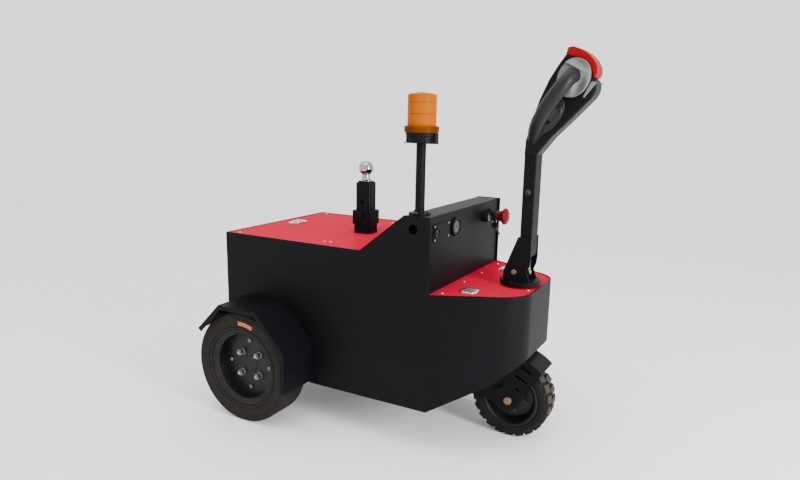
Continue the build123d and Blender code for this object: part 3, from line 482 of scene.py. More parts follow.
# Rear rims: pressed and welded steel discs with a deep dish, painted satin black, held by
# four flanged nuts, with four round-headed bolts between them and a flat cap in the middle
rim_paint = Finish("rim_paint", (0.005, 0.005, 0.005), 0.34, Specular_IOR_Level=0.20)
rim_cloud = rim_paint.noise(30.0, 4.0)
rim_paint.tint((rim_cloud - 0.4).clamp() * 1.5, (0.0036, 0.0036, 0.0040), (0.0110, 0.0103, 0.0093))
rim_paint.roughen(0.30 + rim_cloud * 0.2)
dull_zinc = Finish("dull_zinc", (0.26, 0.245, 0.22), 0.36, Metallic=0.9)
dull_zinc.cloud(260.0, 3.0, (0.34, 0.32, 0.285), (0.18, 0.168, 0.15))
rim_edge = 0.0012
disc_middle = (rear_axle[0], 0.345, rear_axle[2])
nut_circle_r = 0.05
bolt_circle_r = 0.08
nut_flange = [(0.0125, 0), (0.0125, 0.0025), (0.0115, 0.0035), (0.006, 0.0035), (0.006, 0.0)]
nut_hexagon = [
    (0.006, 0.003), (0.0112, 0.003), (0.0112, 0.0125), (0.0098, 0.0145), (0.006, 0.0145), (0.006, 0.003),
]
stud_end = [(0, 0.0135), (0.0062, 0.0135), (0.0062, 0.0192), (0.005, 0.0205), (0, 0.0205)]
round_head = [
    (0.0068, 0), (0.0068, 0.003), (0.0060, 0.0060), (0.0044, 0.0070), (0.0034, 0.0070), (0.0034, 0.0035),
    (0, 0.0035),
]


def disc(r, h, rim_r, rim_h, foot=0):
    """Profile of a flat round piece, its upper rim broken by a radius and a height."""
    return [(0, h), (r - rim_r, h), (r, h - rim_h), (r, foot), (0, foot)]


for side, label in sides:
    wheel = f"rear_wheel_{label}"
    softened(f"dished_rim_{label}", f"rear_rim_{label}", wheel, rim_paint, rim_edge)
    middle = mirrored(disc_middle, side)
    out = (0, side, 0)
    fixings = bmesh.new()
    for turn in range(4):
        nut_spot = around(middle, "y", nut_circle_r, math.radians(45 + 90 * turn))
        turned(fixings, nut_flange, nut_spot, out, 24)
        turned(fixings, nut_hexagon, nut_spot, out, 6)
        turned(fixings, stud_end, nut_spot, out, 18)
        bolt_spot = around(middle, "y", bolt_circle_r, math.radians(90 * turn))
        turned(fixings, round_head, bolt_spot, out, 20)
    fitted(f"wheel_nuts_{label}", fixings, wheel, dull_zinc)
    cap = bmesh.new()
    turned(cap, disc(0.0275, 0.0016, 0.001, 0.0008, -0.001), middle, out, 40)
    fitted(f"hub_disc_{label}", cap, wheel, rim_paint)

# Front tyre: black rubber moulded with two rows of staggered tread blocks, their faces worn
# pale. The blocks are flat, and their corners stay just inside the tyre's radius.
front_r = 0.1255
front_half = 0.0425
front_axle = (0.389, 0, front_r)
front_bead_r = 0.093
block_h = 0.0060
block_l = 0.0275
block_w = 0.0375
block_taper = (0.88, 0.94, 1)
block_skew = 14
block_y = 0.0205
block_root = 0.002
block_drop = 0.0019
blocks_round = 22
core_r = front_r - block_h
worn_r = 0.1228
worn_fade = 500.0
tread_rubber = Finish("tread_rubber", (0.008, 0.0066, 0.0052), 0.8, Specular_IOR_Level=0.2)
tread_cloud = tread_rubber.noise(35.0, 4.0)
from_axle = tread_rubber.node(
    "ShaderNodeVectorMath", {"operation": "MULTIPLY"},
    {0: tread_rubber.place((-front_axle[0], 0, -front_axle[2])), 1: (1, 0, 1)},
)
reach = tread_rubber.node("ShaderNodeVectorMath", {"operation": "LENGTH"}, {0: from_axle}, output=1)
worn_face = ((reach - worn_r) * worn_fade).clamp() * (0.35 + tread_cloud * 0.9)
tread_rubber.tint(worn_face.clamp(), (0.0060, 0.0049, 0.0037), (0.040, 0.033, 0.024))
tread_rubber.roughen(0.75 + tread_cloud * 0.15)
tread_rubber.bump(tread_rubber.noise(420.0, 3.0), 0.0002)
front_tyre = bmesh.new()
half_profile = [
    (front_bead_r, front_half - 0.004), (front_bead_r + 0.004, front_half - 0.0006),
    (front_bead_r + 0.007, front_half), (front_bead_r + 0.0085, front_half - 0.0018),
    (front_bead_r + 0.0105, front_half - 0.0018), (front_bead_r + 0.012, front_half - 0.0002),
    (core_r - 0.006, front_half - 0.001), (core_r - 0.002, front_half - 0.004), (core_r, front_half - 0.009),
]
other_half = [(r, -h) for r, h in reversed(half_profile)]
turned(front_tyre, [*half_profile, *other_half, half_profile[0]], front_axle, leftward, 72)
block_turn = math.tau / blocks_round
for row in (-1, 1):
    block = bmesh.new()
    bmesh.ops.create_cube(block, size=1.0)
    bmesh.ops.scale(block, vec=(block_l, block_w, block_h + block_root), verts=block.verts)
    bmesh.ops.scale(block, vec=block_taper, verts=[corner for corner in block.verts if corner.co.z > 0])
    skew = Matrix.Rotation(math.radians(block_skew * row), 3, "Z")
    bmesh.ops.rotate(block, cent=(0, 0, 0), matrix=skew, verts=block.verts)
    bmesh.ops.bevel(
        block, geom=block.edges, offset=0.0011, segments=1, profile=0.5, affect="EDGES", material=-1
    )
    block_rise = core_r + block_h / 2 - block_drop
    bmesh.ops.translate(block, vec=(0, row * block_y, block_rise), verts=block.verts)
    bmesh.ops.translate(block, vec=front_axle, verts=block.verts)
    stagger = Matrix.Rotation(block_turn / 2 * (row + 1) / 2, 3, "Y")
    bmesh.ops.rotate(block, cent=front_axle, matrix=stagger, verts=block.verts)
    bmesh.ops.spin(
        block, geom=[*block.faces, *block.edges, *block.verts], cent=front_axle, axis=leftward,
        angle=math.tau - block_turn, steps=blocks_round - 1, use_duplicate=True,
    )
    joined(front_tyre, block)
fitted("block_tread_tyre", front_tyre, "front_wheel", tread_rubber, ("front_tyre",), 30)

# Front rim: two halves of pressed steel under the rear rims' paint, held together by five
# bolts, with washers and hollow hexagon heads on either side
softened("split_rim", "front_rim", "front_wheel", rim_paint, rim_edge)
dark_zinc = Finish("dark_zinc", (0.045, 0.044, 0.043), 0.36, Metallic=1.0)
dark_zinc.roughen(0.30 + dark_zinc.noise(300.0) * 0.16)
rim_bolt_circle_r = 0.048
rim_bolt_middle = (front_axle[0], 0.0098, front_axle[2])
rim_washer = [(0.009, 0), (0.009, 0.002), (0.0055, 0.0026), (0.0055, 0.0)]
rim_bolt_head = [
    (0.0075, 0.002), (0.0075, 0.008), (0.0066, 0.009), (0.0036, 0.009), (0.0036, 0.004), (0, 0.004),
]
rim_bolts = bmesh.new()
for side in (-1, 1):
    for turn in range(5):
        bolt_angle = math.radians(-12 + 72 * turn)
        bolt_spot = around(mirrored(rim_bolt_middle, side), "y", rim_bolt_circle_r, bolt_angle)
        turned(rim_bolts, rim_washer, bolt_spot, (0, side, 0), 20)
        turned(rim_bolts, rim_bolt_head, bolt_spot, (0, side, 0), 6)
fitted("rim_bolts", rim_bolts, "front_wheel", dark_zinc)

# Front axle: a plain pin of bare copper-coloured steel through both fork plates and the rim.
# The pin on which the tiller leans is of the same steel.
copper = Finish("copper", (0.15, 0.092, 0.060), 0.45, Metallic=0.6)
copper.roughen(0.34 + copper.noise(250.0) * 0.14)
copper.on(nodes["front_axle"], nodes["tiller_pivot_pin"])

# Fork, tiller base and arm: cut, bent and welded plate under the same black coat. Six curved
# slots, laid out about the axle, lighten each of the fork's plates
fork_crown_r = 0.148
slot_half = 0.0035
slot_steps = 6
slot_reach_y = 0.060
fork_slots = (  # radius in crown radii, start angle, end angle
    (0.824, 57, 72), (0.824, 108, 123),
    (0.588, 53, 75), (0.588, 105, 127),
    (0.338, 50, 62), (0.338, 116, 146),
)


def worked_out(thing):
    """Take an object out of the scene, and give back the shape that its modifiers make."""
    view = bpy.context.evaluated_depsgraph_get()
    data = bpy.data.meshes.new_from_object(thing.evaluated_get(view))
    shape = bmesh.new()
    shape.from_mesh(data)
    bpy.data.meshes.remove(data)
    bpy.data.objects.remove(thing)
    return shape


def cut(shape, tools):
    """Cut the tools' form out of a shape, and give back what is left."""
    blank = placed("blank", shape)
    cutter = placed("cutter", tools)
    cutting = blank.modifiers.new("cut", "BOOLEAN")
    cutting.operation = "DIFFERENCE"
    cutting.solver = "EXACT"
    cutting.object = cutter
    left = worked_out(blank)
    bpy.data.objects.remove(cutter)
    bmesh.ops.remove_doubles(left, verts=left.verts, dist=1e-5)
    return left


slot_tools = bmesh.new()
for share, start, end in fork_slots:
    slot_edge = []
    for side, first, last in ((1, start, end), (-1, end, start)):
        for step in range(slot_steps + 1):
            angle = math.radians(first + (last - first) * step / slot_steps)
            reach = share * fork_crown_r + side * slot_half
            slot_edge.append((reach * math.cos(angle), reach * math.sin(angle)))
        for step in (1, 2, 3):
            angle = math.radians(last)
            swing = angle + math.pi * (step / 4 + (1 - side) / 2)
            slot_edge.append((
                share * fork_crown_r * math.cos(angle) + slot_half * math.cos(swing),
                share * fork_crown_r * math.sin(angle) + slot_half * math.sin(swing),
            ))
    slot_spot = (front_axle[0], slot_reach_y, front_axle[2])
    plated(slot_tools, slot_edge, slot_spot, ahead, upward, 2 * slot_reach_y)
softened("fork_yoke", "front_fork", "steering", black_coat, 0.0022, 3, slot_tools)
softened("tiller_bracket", "tiller_base", "steering", black_coat, 0.0016, 3)
softened("tiller_tube", "tiller_arm", "tiller", black_coat, 0.0012)

# Control head: a moulding of black glass-filled nylon with a fine matt grain, fixed on top of
# the arm
moulded = Finish("moulded_nylon", (0.004, 0.004, 0.005), 0.42, Specular_IOR_Level=0.06)
moulded.cloud(9.0, 4.0, (0.0030, 0.0030, 0.0040), (0.0070, 0.0070, 0.0085), 0.34, 0.16)
moulded.bump(moulded.noise(1400.0), 0.00006, 0.6)
softened("head_shell", "head_housing", "tiller", moulded, 0.001)

# Hand loops: each runs out of its thumb wheel, down beside the head and into an oval pad on
# the head's side. Loop and pad are one smooth moulding, so the one flows into the other, and
# a small slot is let into it over the pad.
grip_black = Finish("grip_black", (0.0045, 0.0048, 0.0060), 0.42, Specular_IOR_Level=0.22)
grip_black.cloud(9.0, 4.0, (0.0035, 0.0037, 0.0050), (0.0070, 0.0073, 0.0090), 0.38, 0.14)
grip_black.bump(grip_black.noise(1400.0), 0.00005)
loop_stations = (  # x, distance from the middle plane, z, radius of the tube
    (0.521, 0.030, 1.106, 0.0215),
    (0.521, 0.056, 1.106, 0.0218),
    (0.517, 0.078, 1.098, 0.0220),
    (0.506, 0.092, 1.078, 0.0218),
    (0.488, 0.096, 1.052, 0.0212),
    (0.466, 0.091, 1.024, 0.0206),
    (0.449, 0.080, 0.999, 0.0203),
    (0.433, 0.064, 0.977, 0.0203),
    (0.422, 0.046, 0.957, 0.0204),
    (0.414, 0.029, 0.936, 0.0190),
    (0.406, 0.016, 0.912, 0.0150),
)
pad_outline = (  # x, z
    (0.420, 0.9417), (0.438, 0.9445), (0.454, 0.9500), (0.470, 0.9615), (0.483, 0.9763),
    (0.493, 0.9940), (0.4995, 1.0132), (0.500, 1.0300), (0.493, 1.0450), (0.470, 1.0400),
    (0.440, 1.0050), (0.409, 0.9500),
)
pad_foot_y = 0.030
pad_t = 0.0080
web_count = 15
web_r = 0.0142
web_first = 5.0             # station where the first web leaves the tube
web_last = 9.0              # and the last
web_high = (0.480, 1.009)   # x and z where the first web meets the pad
web_low = (0.434, 0.946)    # and the last
web_y = 0.0242
weld_grain = 0.0022
smoothings = 16
pad_slot = rounded(0.0125, 0.0052, 0.0025, 4)
pad_slot_spot = (0.4596, 0.068, 0.9782)   # x, distance from the middle plane, z
pad_slot_along = (0.72, 0, 0.694)
pad_slot_across = (-0.694, 0, 0.72)
pad_slot_d = 0.026


def between(pairs, station):
    """A place part of the way from one row of a table to the next."""
    before = Vector(pairs[int(station)])
    after = Vector(pairs[min(int(station) + 1, len(pairs) - 1)])
    return before.lerp(after, station - int(station))


for side, label in sides:
    loop_line = bpy.data.curves.new("loop_line", "CURVE")
    loop_line.dimensions = "3D"
    loop_line.bevel_depth = 1.0
    loop_line.bevel_resolution = 6
    loop_line.use_fill_caps = True
    run = loop_line.splines.new("NURBS")
    run.points.add(len(loop_stations) - 1)
    for point, (x, out, z, girth) in zip(run.points, loop_stations):
        point.co = (x, side * out, z, 1)
        point.radius = girth
    run.order_u = 3
    run.use_endpoint_u = True
    run.resolution_u = 8
    for web in range(web_count):
        share = web / (web_count - 1)
        start = between(loop_stations, web_first + (web_last - web_first) * share)
        x = web_high[0] + (web_low[0] - web_high[0]) * share
        z = web_high[1] + (web_low[1] - web_high[1]) * share
        web_line = loop_line.splines.new("POLY")
        web_line.points.add(1)
        web_line.points[0].co = (start[0], side * start[1], start[2], 1)
        web_line.points[1].co = (x, side * web_y, z, 1)
        for point in web_line.points:
            point.radius = web_r
    loop_tube = bpy.data.objects.new("loop_tube", loop_line)
    bpy.context.collection.objects.link(loop_tube)
    rough = worked_out(loop_tube)
    plated(rough, pad_outline, (0, side * pad_foot_y, 0), ahead, upward, -side * pad_t)
    lump = placed("lump", rough)
    weld = lump.modifiers.new("weld", "REMESH")
    weld.mode = "VOXEL"
    weld.voxel_size = weld_grain
    loop = worked_out(lump)
    for _ in range(smoothings):
        bmesh.ops.smooth_vert(
            loop, verts=loop.verts, factor=0.5, use_axis_x=True, use_axis_y=True, use_axis_z=True
        )
    drill = bmesh.new()
    drill_spot = mirrored(pad_slot_spot, side)
    plated(drill, pad_slot, drill_spot, pad_slot_along, pad_slot_across, side * pad_slot_d)
    fitted(f"hand_loop_{label}", cut(loop, drill), "tiller", grip_black,
           ("hand_loops",) if side < 0 else (), 80)

# Safety button: a soft-edged red cap moulded over the head's end, which stops the tug when it
# meets the driver
red_cap = Finish("red_cap", (0.19, 0.0025, 0.004), 0.34, Specular_IOR_Level=0.03)
red_cap.cloud(12.0, 3.0, (0.17, 0.0022, 0.0035), (0.22, 0.0038, 0.005), 0.30, 0.12)
red_cap.bump(red_cap.noise(1400.0), 0.00004)
softened("button_cap", "reverse_button", "tiller", red_cap, 0.005, 4)

# Thumb wheels: light grey mouldings, one on either side of the head. Each has two wings,
# dished for the thumb, and a channel between them out of which the hand loop runs.
wing_grey = Finish("wing_grey", (0.14, 0.14, 0.137), 0.36, Specular_IOR_Level=0.3)
wing_grey.cloud(16.0, 3.0, (0.115, 0.116, 0.114), (0.165, 0.166, 0.162), 0.28, 0.14)
wing_grey.bump(wing_grey.noise(1400.0), 0.00004)
wheel_centre = (0.520, 0.0353, 1.0997)
wheel_lean = math.radians(25)
wheel_r = 0.0445
wheel_stretch = 54 / 44.5
wheel_high = 0.020
channel_high = 0.008
upper_foot = 0.023   # along the wheel, from where the upper wing rises
upper_land = 0.027   # to where it is full
lower_foot = 0.001   # across the wheel, from where the lower wing rises
lower_land = 0.009   # to where it is full
lower_drop = 0.002
upper_dish = ((0.040, 0.001), (0.0145, 0.036))    # middle and reach, each along and across
lower_dish = ((-0.012, 0.0255), (0.034, 0.0175))
dish_d = 0.009
wing_profile = [(wheel_r * step / 30, wheel_high) for step in range(29)]
wing_profile += [
    (wheel_r - 0.0017, 0.0197), (wheel_r - 0.0007, 0.0188), (wheel_r, 0.0172), (wheel_r, 0.001),
    (wheel_r - 0.001, 0), (0.02, 0),
]


def eased(value, start, end):
    """0 before the start, 1 past the end, and a smooth rise between them."""
    share = min(max((value - start) / (end - start), 0), 1)
    return share * share * (3 - 2 * share)


def dished(along, across, middle, reach):
    """Depth of a thumb's dish at a place on the wheel."""
    far = ((along - middle[0]) / reach[0]) ** 2 + ((across - middle[1]) / reach[1]) ** 2
    return dish_d * max(1 - far, 0) ** 1.5


for side, label in sides:
    wings = bmesh.new()
    turned(wings, wing_profile, (0, 0, 0), upward, 96)
    for corner in wings.verts:
        across, along, high = corner.co.x, corner.co.y * wheel_stretch, corner.co.z
        if high > channel_high:
            upper = eased(along, upper_foot, upper_land)
            lower = eased(across, lower_foot, lower_land) * (1 - upper)
            upper_high = wheel_high - dished(along, across, *upper_dish)
            lower_high = wheel_high - dished(along, across, *lower_dish)
            land = channel_high + (upper_high - channel_high) * upper
            land += (lower_high - lower_drop - channel_high) * lower
            high = min(high, land)
        corner.co = (
            wheel_centre[0] + along * math.sin(wheel_lean) + across * math.cos(wheel_lean),
            side * (wheel_centre[1] + high),
            wheel_centre[2] + along * math.cos(wheel_lean) - across * math.sin(wheel_lean),
        )
    bmesh.ops.recalc_face_normals(wings, faces=wings.faces)
    fitted(f"thumb_wings_{label}", wings, "tiller", wing_grey,
           ("thumb_wheels",) if side < 0 else (), 40)

# Head inserts: wedges moulded in the thumb wheels' light grey, let into the housing's sides
# below the button
wedge_outline = ((0.5475, 1.0492), (0.5510, 1.0462), (0.5838, 1.0882), (0.5683, 1.0905))
wedge_foot_y = 0.0349
wedge_t = 0.0014
inserts = bmesh.new()
for side in (-1, 1):
    plated(inserts, wedge_outline, (0, side * wedge_foot_y, 0), ahead, upward, -side * wedge_t, 0.0005)
fitted("head_inserts", inserts, "tiller", wing_grey)

# Arm screws: dome-headed steel screws, zinc-plated dark, with washers, one in either side of
# the arm
arm_screw_spot = (0.4075, 0.030, 0.775)
arm_screw_r = 0.006
arm_screw_h = 0.0036
washer = disc(0.0086, 0.0012, 0.0008, 0.0004)
washer_top = 0.001
arm_screws = bmesh.new()
for side in (-1, 1):
    screw_spot = Vector(mirrored(arm_screw_spot, side))
    out = Vector((0, side, 0))
    turned(arm_screws, washer, screw_spot, out, 28)
    screw_head(arm_screws, screw_spot + out * washer_top, out, arm_screw_r, arm_screw_h)
fitted("arm_screws", arm_screws, "tiller", dark_zinc)

# Gas spring between the tiller's base and arm: a black-painted steel barrel with a polished
# rod, which holds the tiller up
spring_paint = Finish("spring_paint", (0.010, 0.010, 0.011), 0.28)
spring_paint.roughen(0.24 + spring_paint.noise(90.0, 3.0) * 0.12)
softened("spring_tube", "gas_spring_barrel", "spring_barrel", spring_paint, 0.0006)
rod_steel = Finish("rod_steel", (0.16, 0.16, 0.17), 0.22, Metallic=1.0)
rod_steel.roughen(0.18 + rod_steel.noise(200.0) * 0.1)
rod_steel.on(nodes["gas_spring_rod"])

# Spring eye: the barrel's foot, a yellow-passivated steel ring round the pin of the tiller's
# base, with a thin ring of the same steel round the barrel's end
yellow_zinc = Finish("yellow_zinc", (0.34, 0.27, 0.08), 0.38, Metallic=1.0)
yellow_zinc.cloud(160.0, 3.0, (0.36, 0.28, 0.08), (0.22, 0.20, 0.12))
spring_foot = (0.411, 0, 0.529)
eye_bore_r = 0.0046
eye_r = 0.0092
eye_half = 0.0066
eye_edge = 0.0006
spring_eye = bmesh.new()
turned(spring_eye, [
    (eye_bore_r, -eye_half), (eye_r - eye_edge, -eye_half), (eye_r, -eye_half + eye_edge),
    (eye_r, eye_half - eye_edge), (eye_r - eye_edge, eye_half), (eye_bore_r, eye_half),
    (eye_bore_r, -eye_half),
], spring_foot, leftward, 28)
turned(spring_eye, [
    (0.0075, 0.010), (0.0078, 0.0105), (0.0078, 0.015), (0.0075, 0.0155), (0.0071, 0.0155),
    (0.0071, 0.010), (0.0075, 0.010),
], spring_foot, upward, 28)
fitted("spring_eye", spring_eye, "spring_barrel", yellow_zinc)

# Hitch: a square steel receiver with its collar, painted black, and the shank in it, held by
# a cross pin
softened("hitch_socket", "hitch_receiver", "chassis", black_coat, 0.0035, 4)
softened("hitch_shank", "hitch_post", "chassis", black_coat, 0.0035, 4)
softened("hitch_pin_black", "hitch_pin", "chassis", black_coat, 0.0014, 3)

# Tow ball: forged steel, turned and chromed, with a flat on top and a skirt that spreads
# onto the shank
chrome = Finish("chrome", (0.28, 0.29, 0.31), 0.09, Metallic=1.0)
chrome.roughen(0.07 + chrome.noise(60.0) * 0.06)
ball_centre = (-0.173, 0, 0.810)
ball_r = 0.025
ball_flat = math.radians(68)
ball_sweep = ball_flat + math.radians(58)
ball_foot = -0.042
skirt_r = 0.0105
skirt_h = 0.0015
neck_r = 0.0140
ball_profile = [(0, ball_r * math.sin(ball_flat))]
for step in range(25):
    angle = ball_flat - ball_sweep * step / 24
    ball_profile.append((ball_r * math.cos(angle), ball_r * math.sin(angle)))
for step in range(9):
    angle = math.radians(90) * step / 8
    reach = neck_r + skirt_r * (1 - math.cos(angle))
    ball_profile.append((reach, ball_foot + skirt_h + skirt_r * (1 - math.sin(angle))))
ball_profile += [(neck_r + skirt_r, ball_foot), (0, ball_foot)]
ball = bmesh.new()
turned(ball, ball_profile, ball_centre, upward, 64)
fitted("chromed_ball", ball, "chassis", chrome, ("tow_ball",), 50)

# Beacon lens: a cup of amber polycarbonate with fine rings round it and a flange, screwed into
# its base. Shade is painted on the flange as darker amber below a height, and the tone varies at random.
amber = Finish("amber_lens", (0.39, 0.094, 0.0002), 0.34, Specular_IOR_Level=0.02)
painted_shade_top_z = 0.958
painted_shade_fade = 160.0
# painted shade on the flange: the amber darkens below a height, and above it only a random tone varies
height = amber.node("ShaderNodeSeparateXYZ", inputs={0: amber.place()}, output=2)
above_painted_shade = ((height - painted_shade_top_z) * painted_shade_fade).clamp()
tone_and_painted_shade = amber.noise(18.0) * 0.35 + above_painted_shade * 0.65
amber.tint(tone_and_painted_shade.clamp(), (0.036, 0.0066, 0.0002), (0.39, 0.094, 0.0002))
beacon_x = 0.150
beacon_y = -0.222
lens_foot_z = 0.943
lens_r = 0.041
lens_h = 0.1035
flange_r = 0.0495
flange_h = 0.018
flange_edge = 0.0015
ring_pitch = 0.004
ring_ramp = 0.0009
rings = int((lens_h - flange_h - 0.004) / ring_pitch)
deep_rings = (8, 16)
crown_r = 0.009
crown_h = 0.006
crown_foot = lens_h - 0.003
lens_profile = [
    (0, 0), (flange_r - flange_edge, 0), (flange_r, flange_edge), (flange_r, flange_h - 0.002),
    (flange_r - flange_edge, flange_h),
]
for ring in range(rings):
    foot = flange_h + 0.001 + ring * ring_pitch
    groove = 0.0016 if ring in deep_rings else 0.0003
    lens_profile += [
        (lens_r - groove, foot), (lens_r, foot + ring_ramp), (lens_r, foot + ring_pitch - ring_ramp),
    ]
lens_profile.append((lens_r, crown_foot))
for step in range(1, 9):
    angle = math.radians(90) * step / 8
    lens_profile.append((lens_r - crown_r * (1 - math.cos(angle)), crown_foot + crown_h * math.sin(angle)))
lens_profile += [(0.018, lens_h + 0.0050), (0.008, lens_h + 0.0066), (0, lens_h + 0.0070)]
lens = bmesh.new()
turned(lens, lens_profile, (beacon_x, beacon_y, lens_foot_z), upward, 72)
fitted("ringed_lens", lens, "chassis", amber, ("beacon_lens",), 24)

# Beacon base: a black moulding with fluted sides, bolted down on a thin steel bracket whose
# end is turned up beside it
base_foot_z = 0.912
flute_count = 12
flute_z = 0.9245
flute_r = 0.0418
flute_outline = [(-0.005, -0.009), (0.005, -0.009), (0.003, 0.0085), (-0.003, 0.0085)]
bracket_t = 0.0022
bracket_foot_z = 0.9128
bracket_end_z = 0.927
bracket_end_x = 0.0462
fluting = bmesh.new()
turned(fluting, [
    (0, 0.031), (0.0445, 0.031), (0.0455, 0.030), (0.0455, 0.023), (0.043, 0.0215), (0.0425, 0.004),
    (0.0415, 0.003), (0, 0.003),
], (beacon_x, beacon_y, base_foot_z), upward, 64)
for flute in range(flute_count):
    angle = math.tau * (flute + 0.5) / flute_count
    along = (-math.sin(angle), math.cos(angle), 0)
    flute_spot = around((beacon_x, beacon_y, flute_z), "z", flute_r, angle)
    plated(fluting, flute_outline, flute_spot, along, upward, 0.0026, 0.0006)
plated(fluting, rounded(0.094, 0.040, 0.006), (beacon_x, beacon_y, bracket_foot_z), ahead, leftward,
       bracket_t, 0.0004)
plated(fluting, rounded(0.022, 0.030, 0.003), (beacon_x + bracket_end_x, beacon_y, bracket_end_z),
       leftward, upward, bracket_t, 0.0004)
fitted("beacon_foot", fluting, "chassis", moulded, ("beacon_base",), 30)

# Beacon pole: black steel tube with a flange welded round its foot, which three bolts hold to
# the top of the riser
pole_r = 0.0140
pole_foot_z = 0.7107
pole_flange_t = 0.0050
pole_flange_z = pole_foot_z + pole_flange_t
pole_flange_r = 0.0320
pole_flange_edge = 0.0008
pole_bolt_circle_r = 0.0235
pole_bolt_z = 0.7155
pole_bolt_head = disc(0.0056, 0.0052, 0.0008, 0.0008)
pole = bmesh.new()
turned(pole, [
    (0, base_foot_z), (pole_r, base_foot_z), (pole_r, pole_flange_z + 0.004),
    (pole_r + 0.0012, pole_flange_z + 0.0012), (pole_r + 0.004, pole_flange_z),
    (pole_flange_r - pole_flange_edge, pole_flange_z), (pole_flange_r, pole_flange_z - pole_flange_edge),
    (pole_flange_r, pole_foot_z), (0, pole_foot_z),
], (beacon_x, beacon_y, 0), upward)
fitted("beacon_tube", pole, "chassis", black_coat, ("beacon_pole",), 50)
pole_bolts = bmesh.new()
for turn in range(3):
    bolt_angle = math.radians(30 + 120 * turn)
    bolt_spot = around((beacon_x, beacon_y, pole_bolt_z), "z", pole_bolt_circle_r, bolt_angle)
    turned(pole_bolts, pole_bolt_head, bolt_spot, upward, 6)
fitted("pole_bolts", pole_bolts, "chassis", dark_zinc)

# Charging module on the dash: a black moulded plate held by four screws, with a round socket
# in which three pins stand
dash_front = 0.204
controls_z = 0.661
module_front = dash_front + 0.0025
module_screw_ys = (-0.2335, -0.1405)
module_screw_rise = 0.0195
module_screw_r = 0.0034
module_screw_h = 0.0018
socket_y = -0.220
pin_circle_r = 0.007
pin_middle = (module_front + 0.001, socket_y, controls_z)
softened("socket_plate", "charge_socket", "chassis", black_coat, 0.0009)
module_screws = bmesh.new()
for y in module_screw_ys:
    for z in (controls_z - module_screw_rise, controls_z + module_screw_rise):
        screw_head(module_screws, (module_front, y, z), ahead, module_screw_r, module_screw_h)
fitted("module_screws", module_screws, "chassis", dull_zinc)
socket_core = bmesh.new()
turned(socket_core, [
    (0, 0.0028), (0.0028, 0.0028), (0.0032, 0.0024), (0.0032, 0.0012), (0.0115, 0.0012),
    (0.0120, 0.0007), (0.0120, 0), (0, 0),
], (module_front, socket_y, controls_z), ahead, 32)
for turn in range(3):
    pin_spot = around(pin_middle, "x", pin_circle_r, math.radians(90 + 120 * turn))
    turned(socket_core, disc(0.0016, 0.0022, 0.0004, 0.0006), pin_spot, ahead, 12)
fitted("socket_core", socket_core, "chassis", dark_zinc)

# Battery gauge: a round instrument in a black bezel, its dark grey dial marked with plain black
# strokes, and its needle pointing a little to the right of upright
dial_face = Finish("dial_face", (0.045, 0.045, 0.047), 0.5, Specular_IOR_Level=0.15)
dial_face.cloud(300.0, 2.0, (0.030, 0.030, 0.032), (0.065, 0.065, 0.067))
gauge_spot = Vector((dash_front + 0.004, -0.089, controls_z))
mark_r = 0.0145
mark_high = 0.0013
mark_w = 0.0004
long_mark = 0.0019
short_mark = 0.0012
ink_t = 0.0003
needle_high = 0.0020
needle_hub_high = 0.0012
needle_angle = math.radians(60)
softened("gauge_case", "battery_gauge", "chassis", moulded, 0.0014, 3)
dial = bmesh.new()
turned(dial, [(0, 0.0014), (0.0172, 0.0014), (0.0182, 0.0008), (0.0186, 0), (0, 0)], gauge_spot, ahead)
fitted("gauge_dial", dial, "chassis", dial_face)
dial_marks = bmesh.new()
for mark in range(11):
    angle = math.radians(210 - 24 * mark)
    outward = Vector((0, math.cos(angle), math.sin(angle)))
    mark_spot = gauge_spot + ahead * mark_high + outward * mark_r
    half = long_mark if mark % 5 == 0 else short_mark
    stroke = [(-half, -mark_w), (half, -mark_w), (half, mark_w), (-half, mark_w)]
    plated(dial_marks, stroke, mark_spot, outward, ahead.cross(outward), -ink_t)
needle_way = Vector((0, math.cos(needle_angle), math.sin(needle_angle)))
needle = [(-0.004, -0.0008), (0.0125, -0.0002), (0.0125, 0.0002), (-0.004, 0.0008)]
plated(dial_marks, needle, gauge_spot + ahead * needle_high, needle_way, ahead.cross(needle_way), -ink_t)
turned(dial_marks, disc(0.0020, 0.0018, 0.0004, 0.0006), gauge_spot + ahead * needle_hub_high, ahead, 16)
fitted("dial_marks", dial_marks, "chassis", moulded)

# Key switch: a black barrel with a steel cylinder, its key turned in it and a spare on a ring.
# The keys are stamped steel with moulded black bows.
key_steel = Finish("key_steel", (0.20, 0.19, 0.17), 0.34, Metallic=1.0)
key_steel.roughen(0.28 + key_steel.noise(300.0) * 0.16)
key_y = 0.137
key_t = 0.0018
key_edge = 0.0003
blade_foot = (dash_front + 0.0215, key_y - key_t / 2, controls_z)
blade = [(0, -0.0032), (0.009, -0.0032), (0.009, 0.0032), (0, 0.0032)]
bow_outline = rounded(0.0190, 0.0200, 0.0070)
bow_t = 0.0042
bow_edge = 0.0010
bow_spot = (dash_front + 0.0385, key_y - bow_t / 2, controls_z)
wire_r = 0.0009
ring_r = 0.0092
key_ring_spot = (dash_front + 0.0390, key_y, controls_z - 0.0115)
key_ring_axis = (0.35, 0.94, 0)
spare_top = Vector((dash_front + 0.0400, key_y, controls_z - 0.0190))
spare_down = Vector((0.49, 0.05, -0.87)).normalized()
spare_side = spare_down.cross(leftward).normalized()
spare_blade = [(0.010, -0.0034), (0.0375, -0.0030), (0.0405, 0), (0.0375, 0.0030), (0.010, 0.0034)]
spare_blade_spot = spare_top - Vector((0, 0.0008, 0))
spare_bow_spot = spare_top + spare_down * 0.0035 - Vector((0, bow_t / 2, 0))
softened("key_barrel", "key_switch", "chassis", moulded, 0.0016, 3)
keys = bmesh.new()
turned(keys, [
    (0, 0.0225), (0.0062, 0.0225), (0.0070, 0.0218), (0.0088, 0.0216), (0.0104, 0.0208), (0.0108, 0.0190),
    (0, 0.0190),
], (dash_front, key_y, controls_z), ahead, 36)
plated(keys, blade, blade_foot, ahead, upward, -key_t, key_edge)
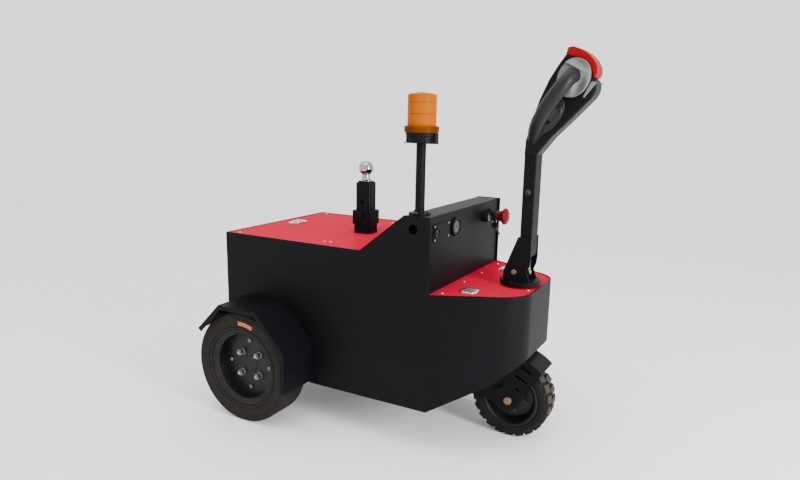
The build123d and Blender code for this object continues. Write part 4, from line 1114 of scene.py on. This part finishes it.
wire = [
    (ring_r + wire_r * math.cos(math.tau * step / 8), wire_r * math.sin(math.tau * step / 8))
    for step in range(9)
]
turned(keys, wire, key_ring_spot, key_ring_axis, 32)
plated(keys, spare_blade, spare_blade_spot, spare_down, spare_side, key_t, key_edge)
fitted("keys", keys, "chassis", key_steel)
key_bows = bmesh.new()
plated(key_bows, bow_outline, bow_spot, ahead, upward, -bow_t, bow_edge)
plated(key_bows, bow_outline, spare_bow_spot, spare_down, spare_side, bow_t, bow_edge)
fitted("key_bows", key_bows, "chassis", moulded)

# Disconnect knob: a red mushroom moulded round a stem, on a black collar that is screwed into
# the dash. It is pulled out to run and pushed in to stop.
stop_red = Finish("stop_red", (0.12, 0.0015, 0.0045), 0.32, Specular_IOR_Level=0.07)
stop_red.cloud(25.0, 3.0, (0.105, 0.0014, 0.0040), (0.14, 0.0022, 0.0055), 0.26, 0.12)
stop_spot = (dash_front, 0.190, controls_z)
knob = bmesh.new()
turned(knob, [
    (0, 0.0685), (0.008, 0.0682), (0.016, 0.0670), (0.0225, 0.0646), (0.0265, 0.0616), (0.0284, 0.0582),
    (0.0285, 0.0558), (0.0276, 0.0532), (0.0250, 0.0508), (0.0214, 0.0486), (0.0188, 0.0450),
    (0.0176, 0.0400), (0.0172, 0.0340), (0.0176, 0.0285), (0.0172, 0.0278), (0, 0.0278),
], stop_spot, ahead, 56)
fitted("stop_knob", knob, "chassis", stop_red, ("emergency_stop",), 50)
collar = bmesh.new()
turned(collar, [
    (0.015, 0.0278), (0.0166, 0.0275), (0.0170, 0.0270), (0.0170, 0.0084), (0.0205, 0.0082),
    (0.0215, 0.0076), (0.0220, 0.0060), (0.0220, 0.0003), (0.015, 0.0003), (0.015, -0.025), (0, -0.025),
    (0, 0.0275), (0.015, 0.0278),
], stop_spot, ahead)
fitted("stop_collar", collar, "chassis", moulded)

# Body plates: steel plate, cut, folded and welded. Their cut edges are broken, so that they
# catch a line of light.
for plate_name in ("side_plate_left", "side_plate_right", "riser_cover", "dash_panel", "rear_plate"):
    softened(f"{plate_name}_shell", plate_name, "chassis", black_coat, 0.0009)

# Battery: cells in a dull blue-grey case of moulded plastic, which stands on the belly plate
# between the axle and the bulkhead
case_grey = Finish("case_grey", (0.07, 0.085, 0.10), 0.55)
case_grey.cloud(11.0, 4.0, (0.06, 0.072, 0.088), (0.10, 0.115, 0.13))
case_grey.bump(case_grey.noise(500.0), 0.0001)
case_grey.on(nodes["battery_pack"])

# Drive axle: a cast iron casing, with a tube and a stub on either side that run out to the
# rear rims, in grey primer under road dust
cast_iron = Finish("cast_iron", (0.12, 0.12, 0.12), 0.62, Metallic=0.3)
cast_iron.cloud(22.0, 5.0, (0.09, 0.09, 0.092), (0.18, 0.165, 0.15), 0.52, 0.25)
cast_iron.bump(cast_iron.noise(260.0, 3.0), 0.0004, 0.7)
cast_iron.on(nodes["drive_axle"])
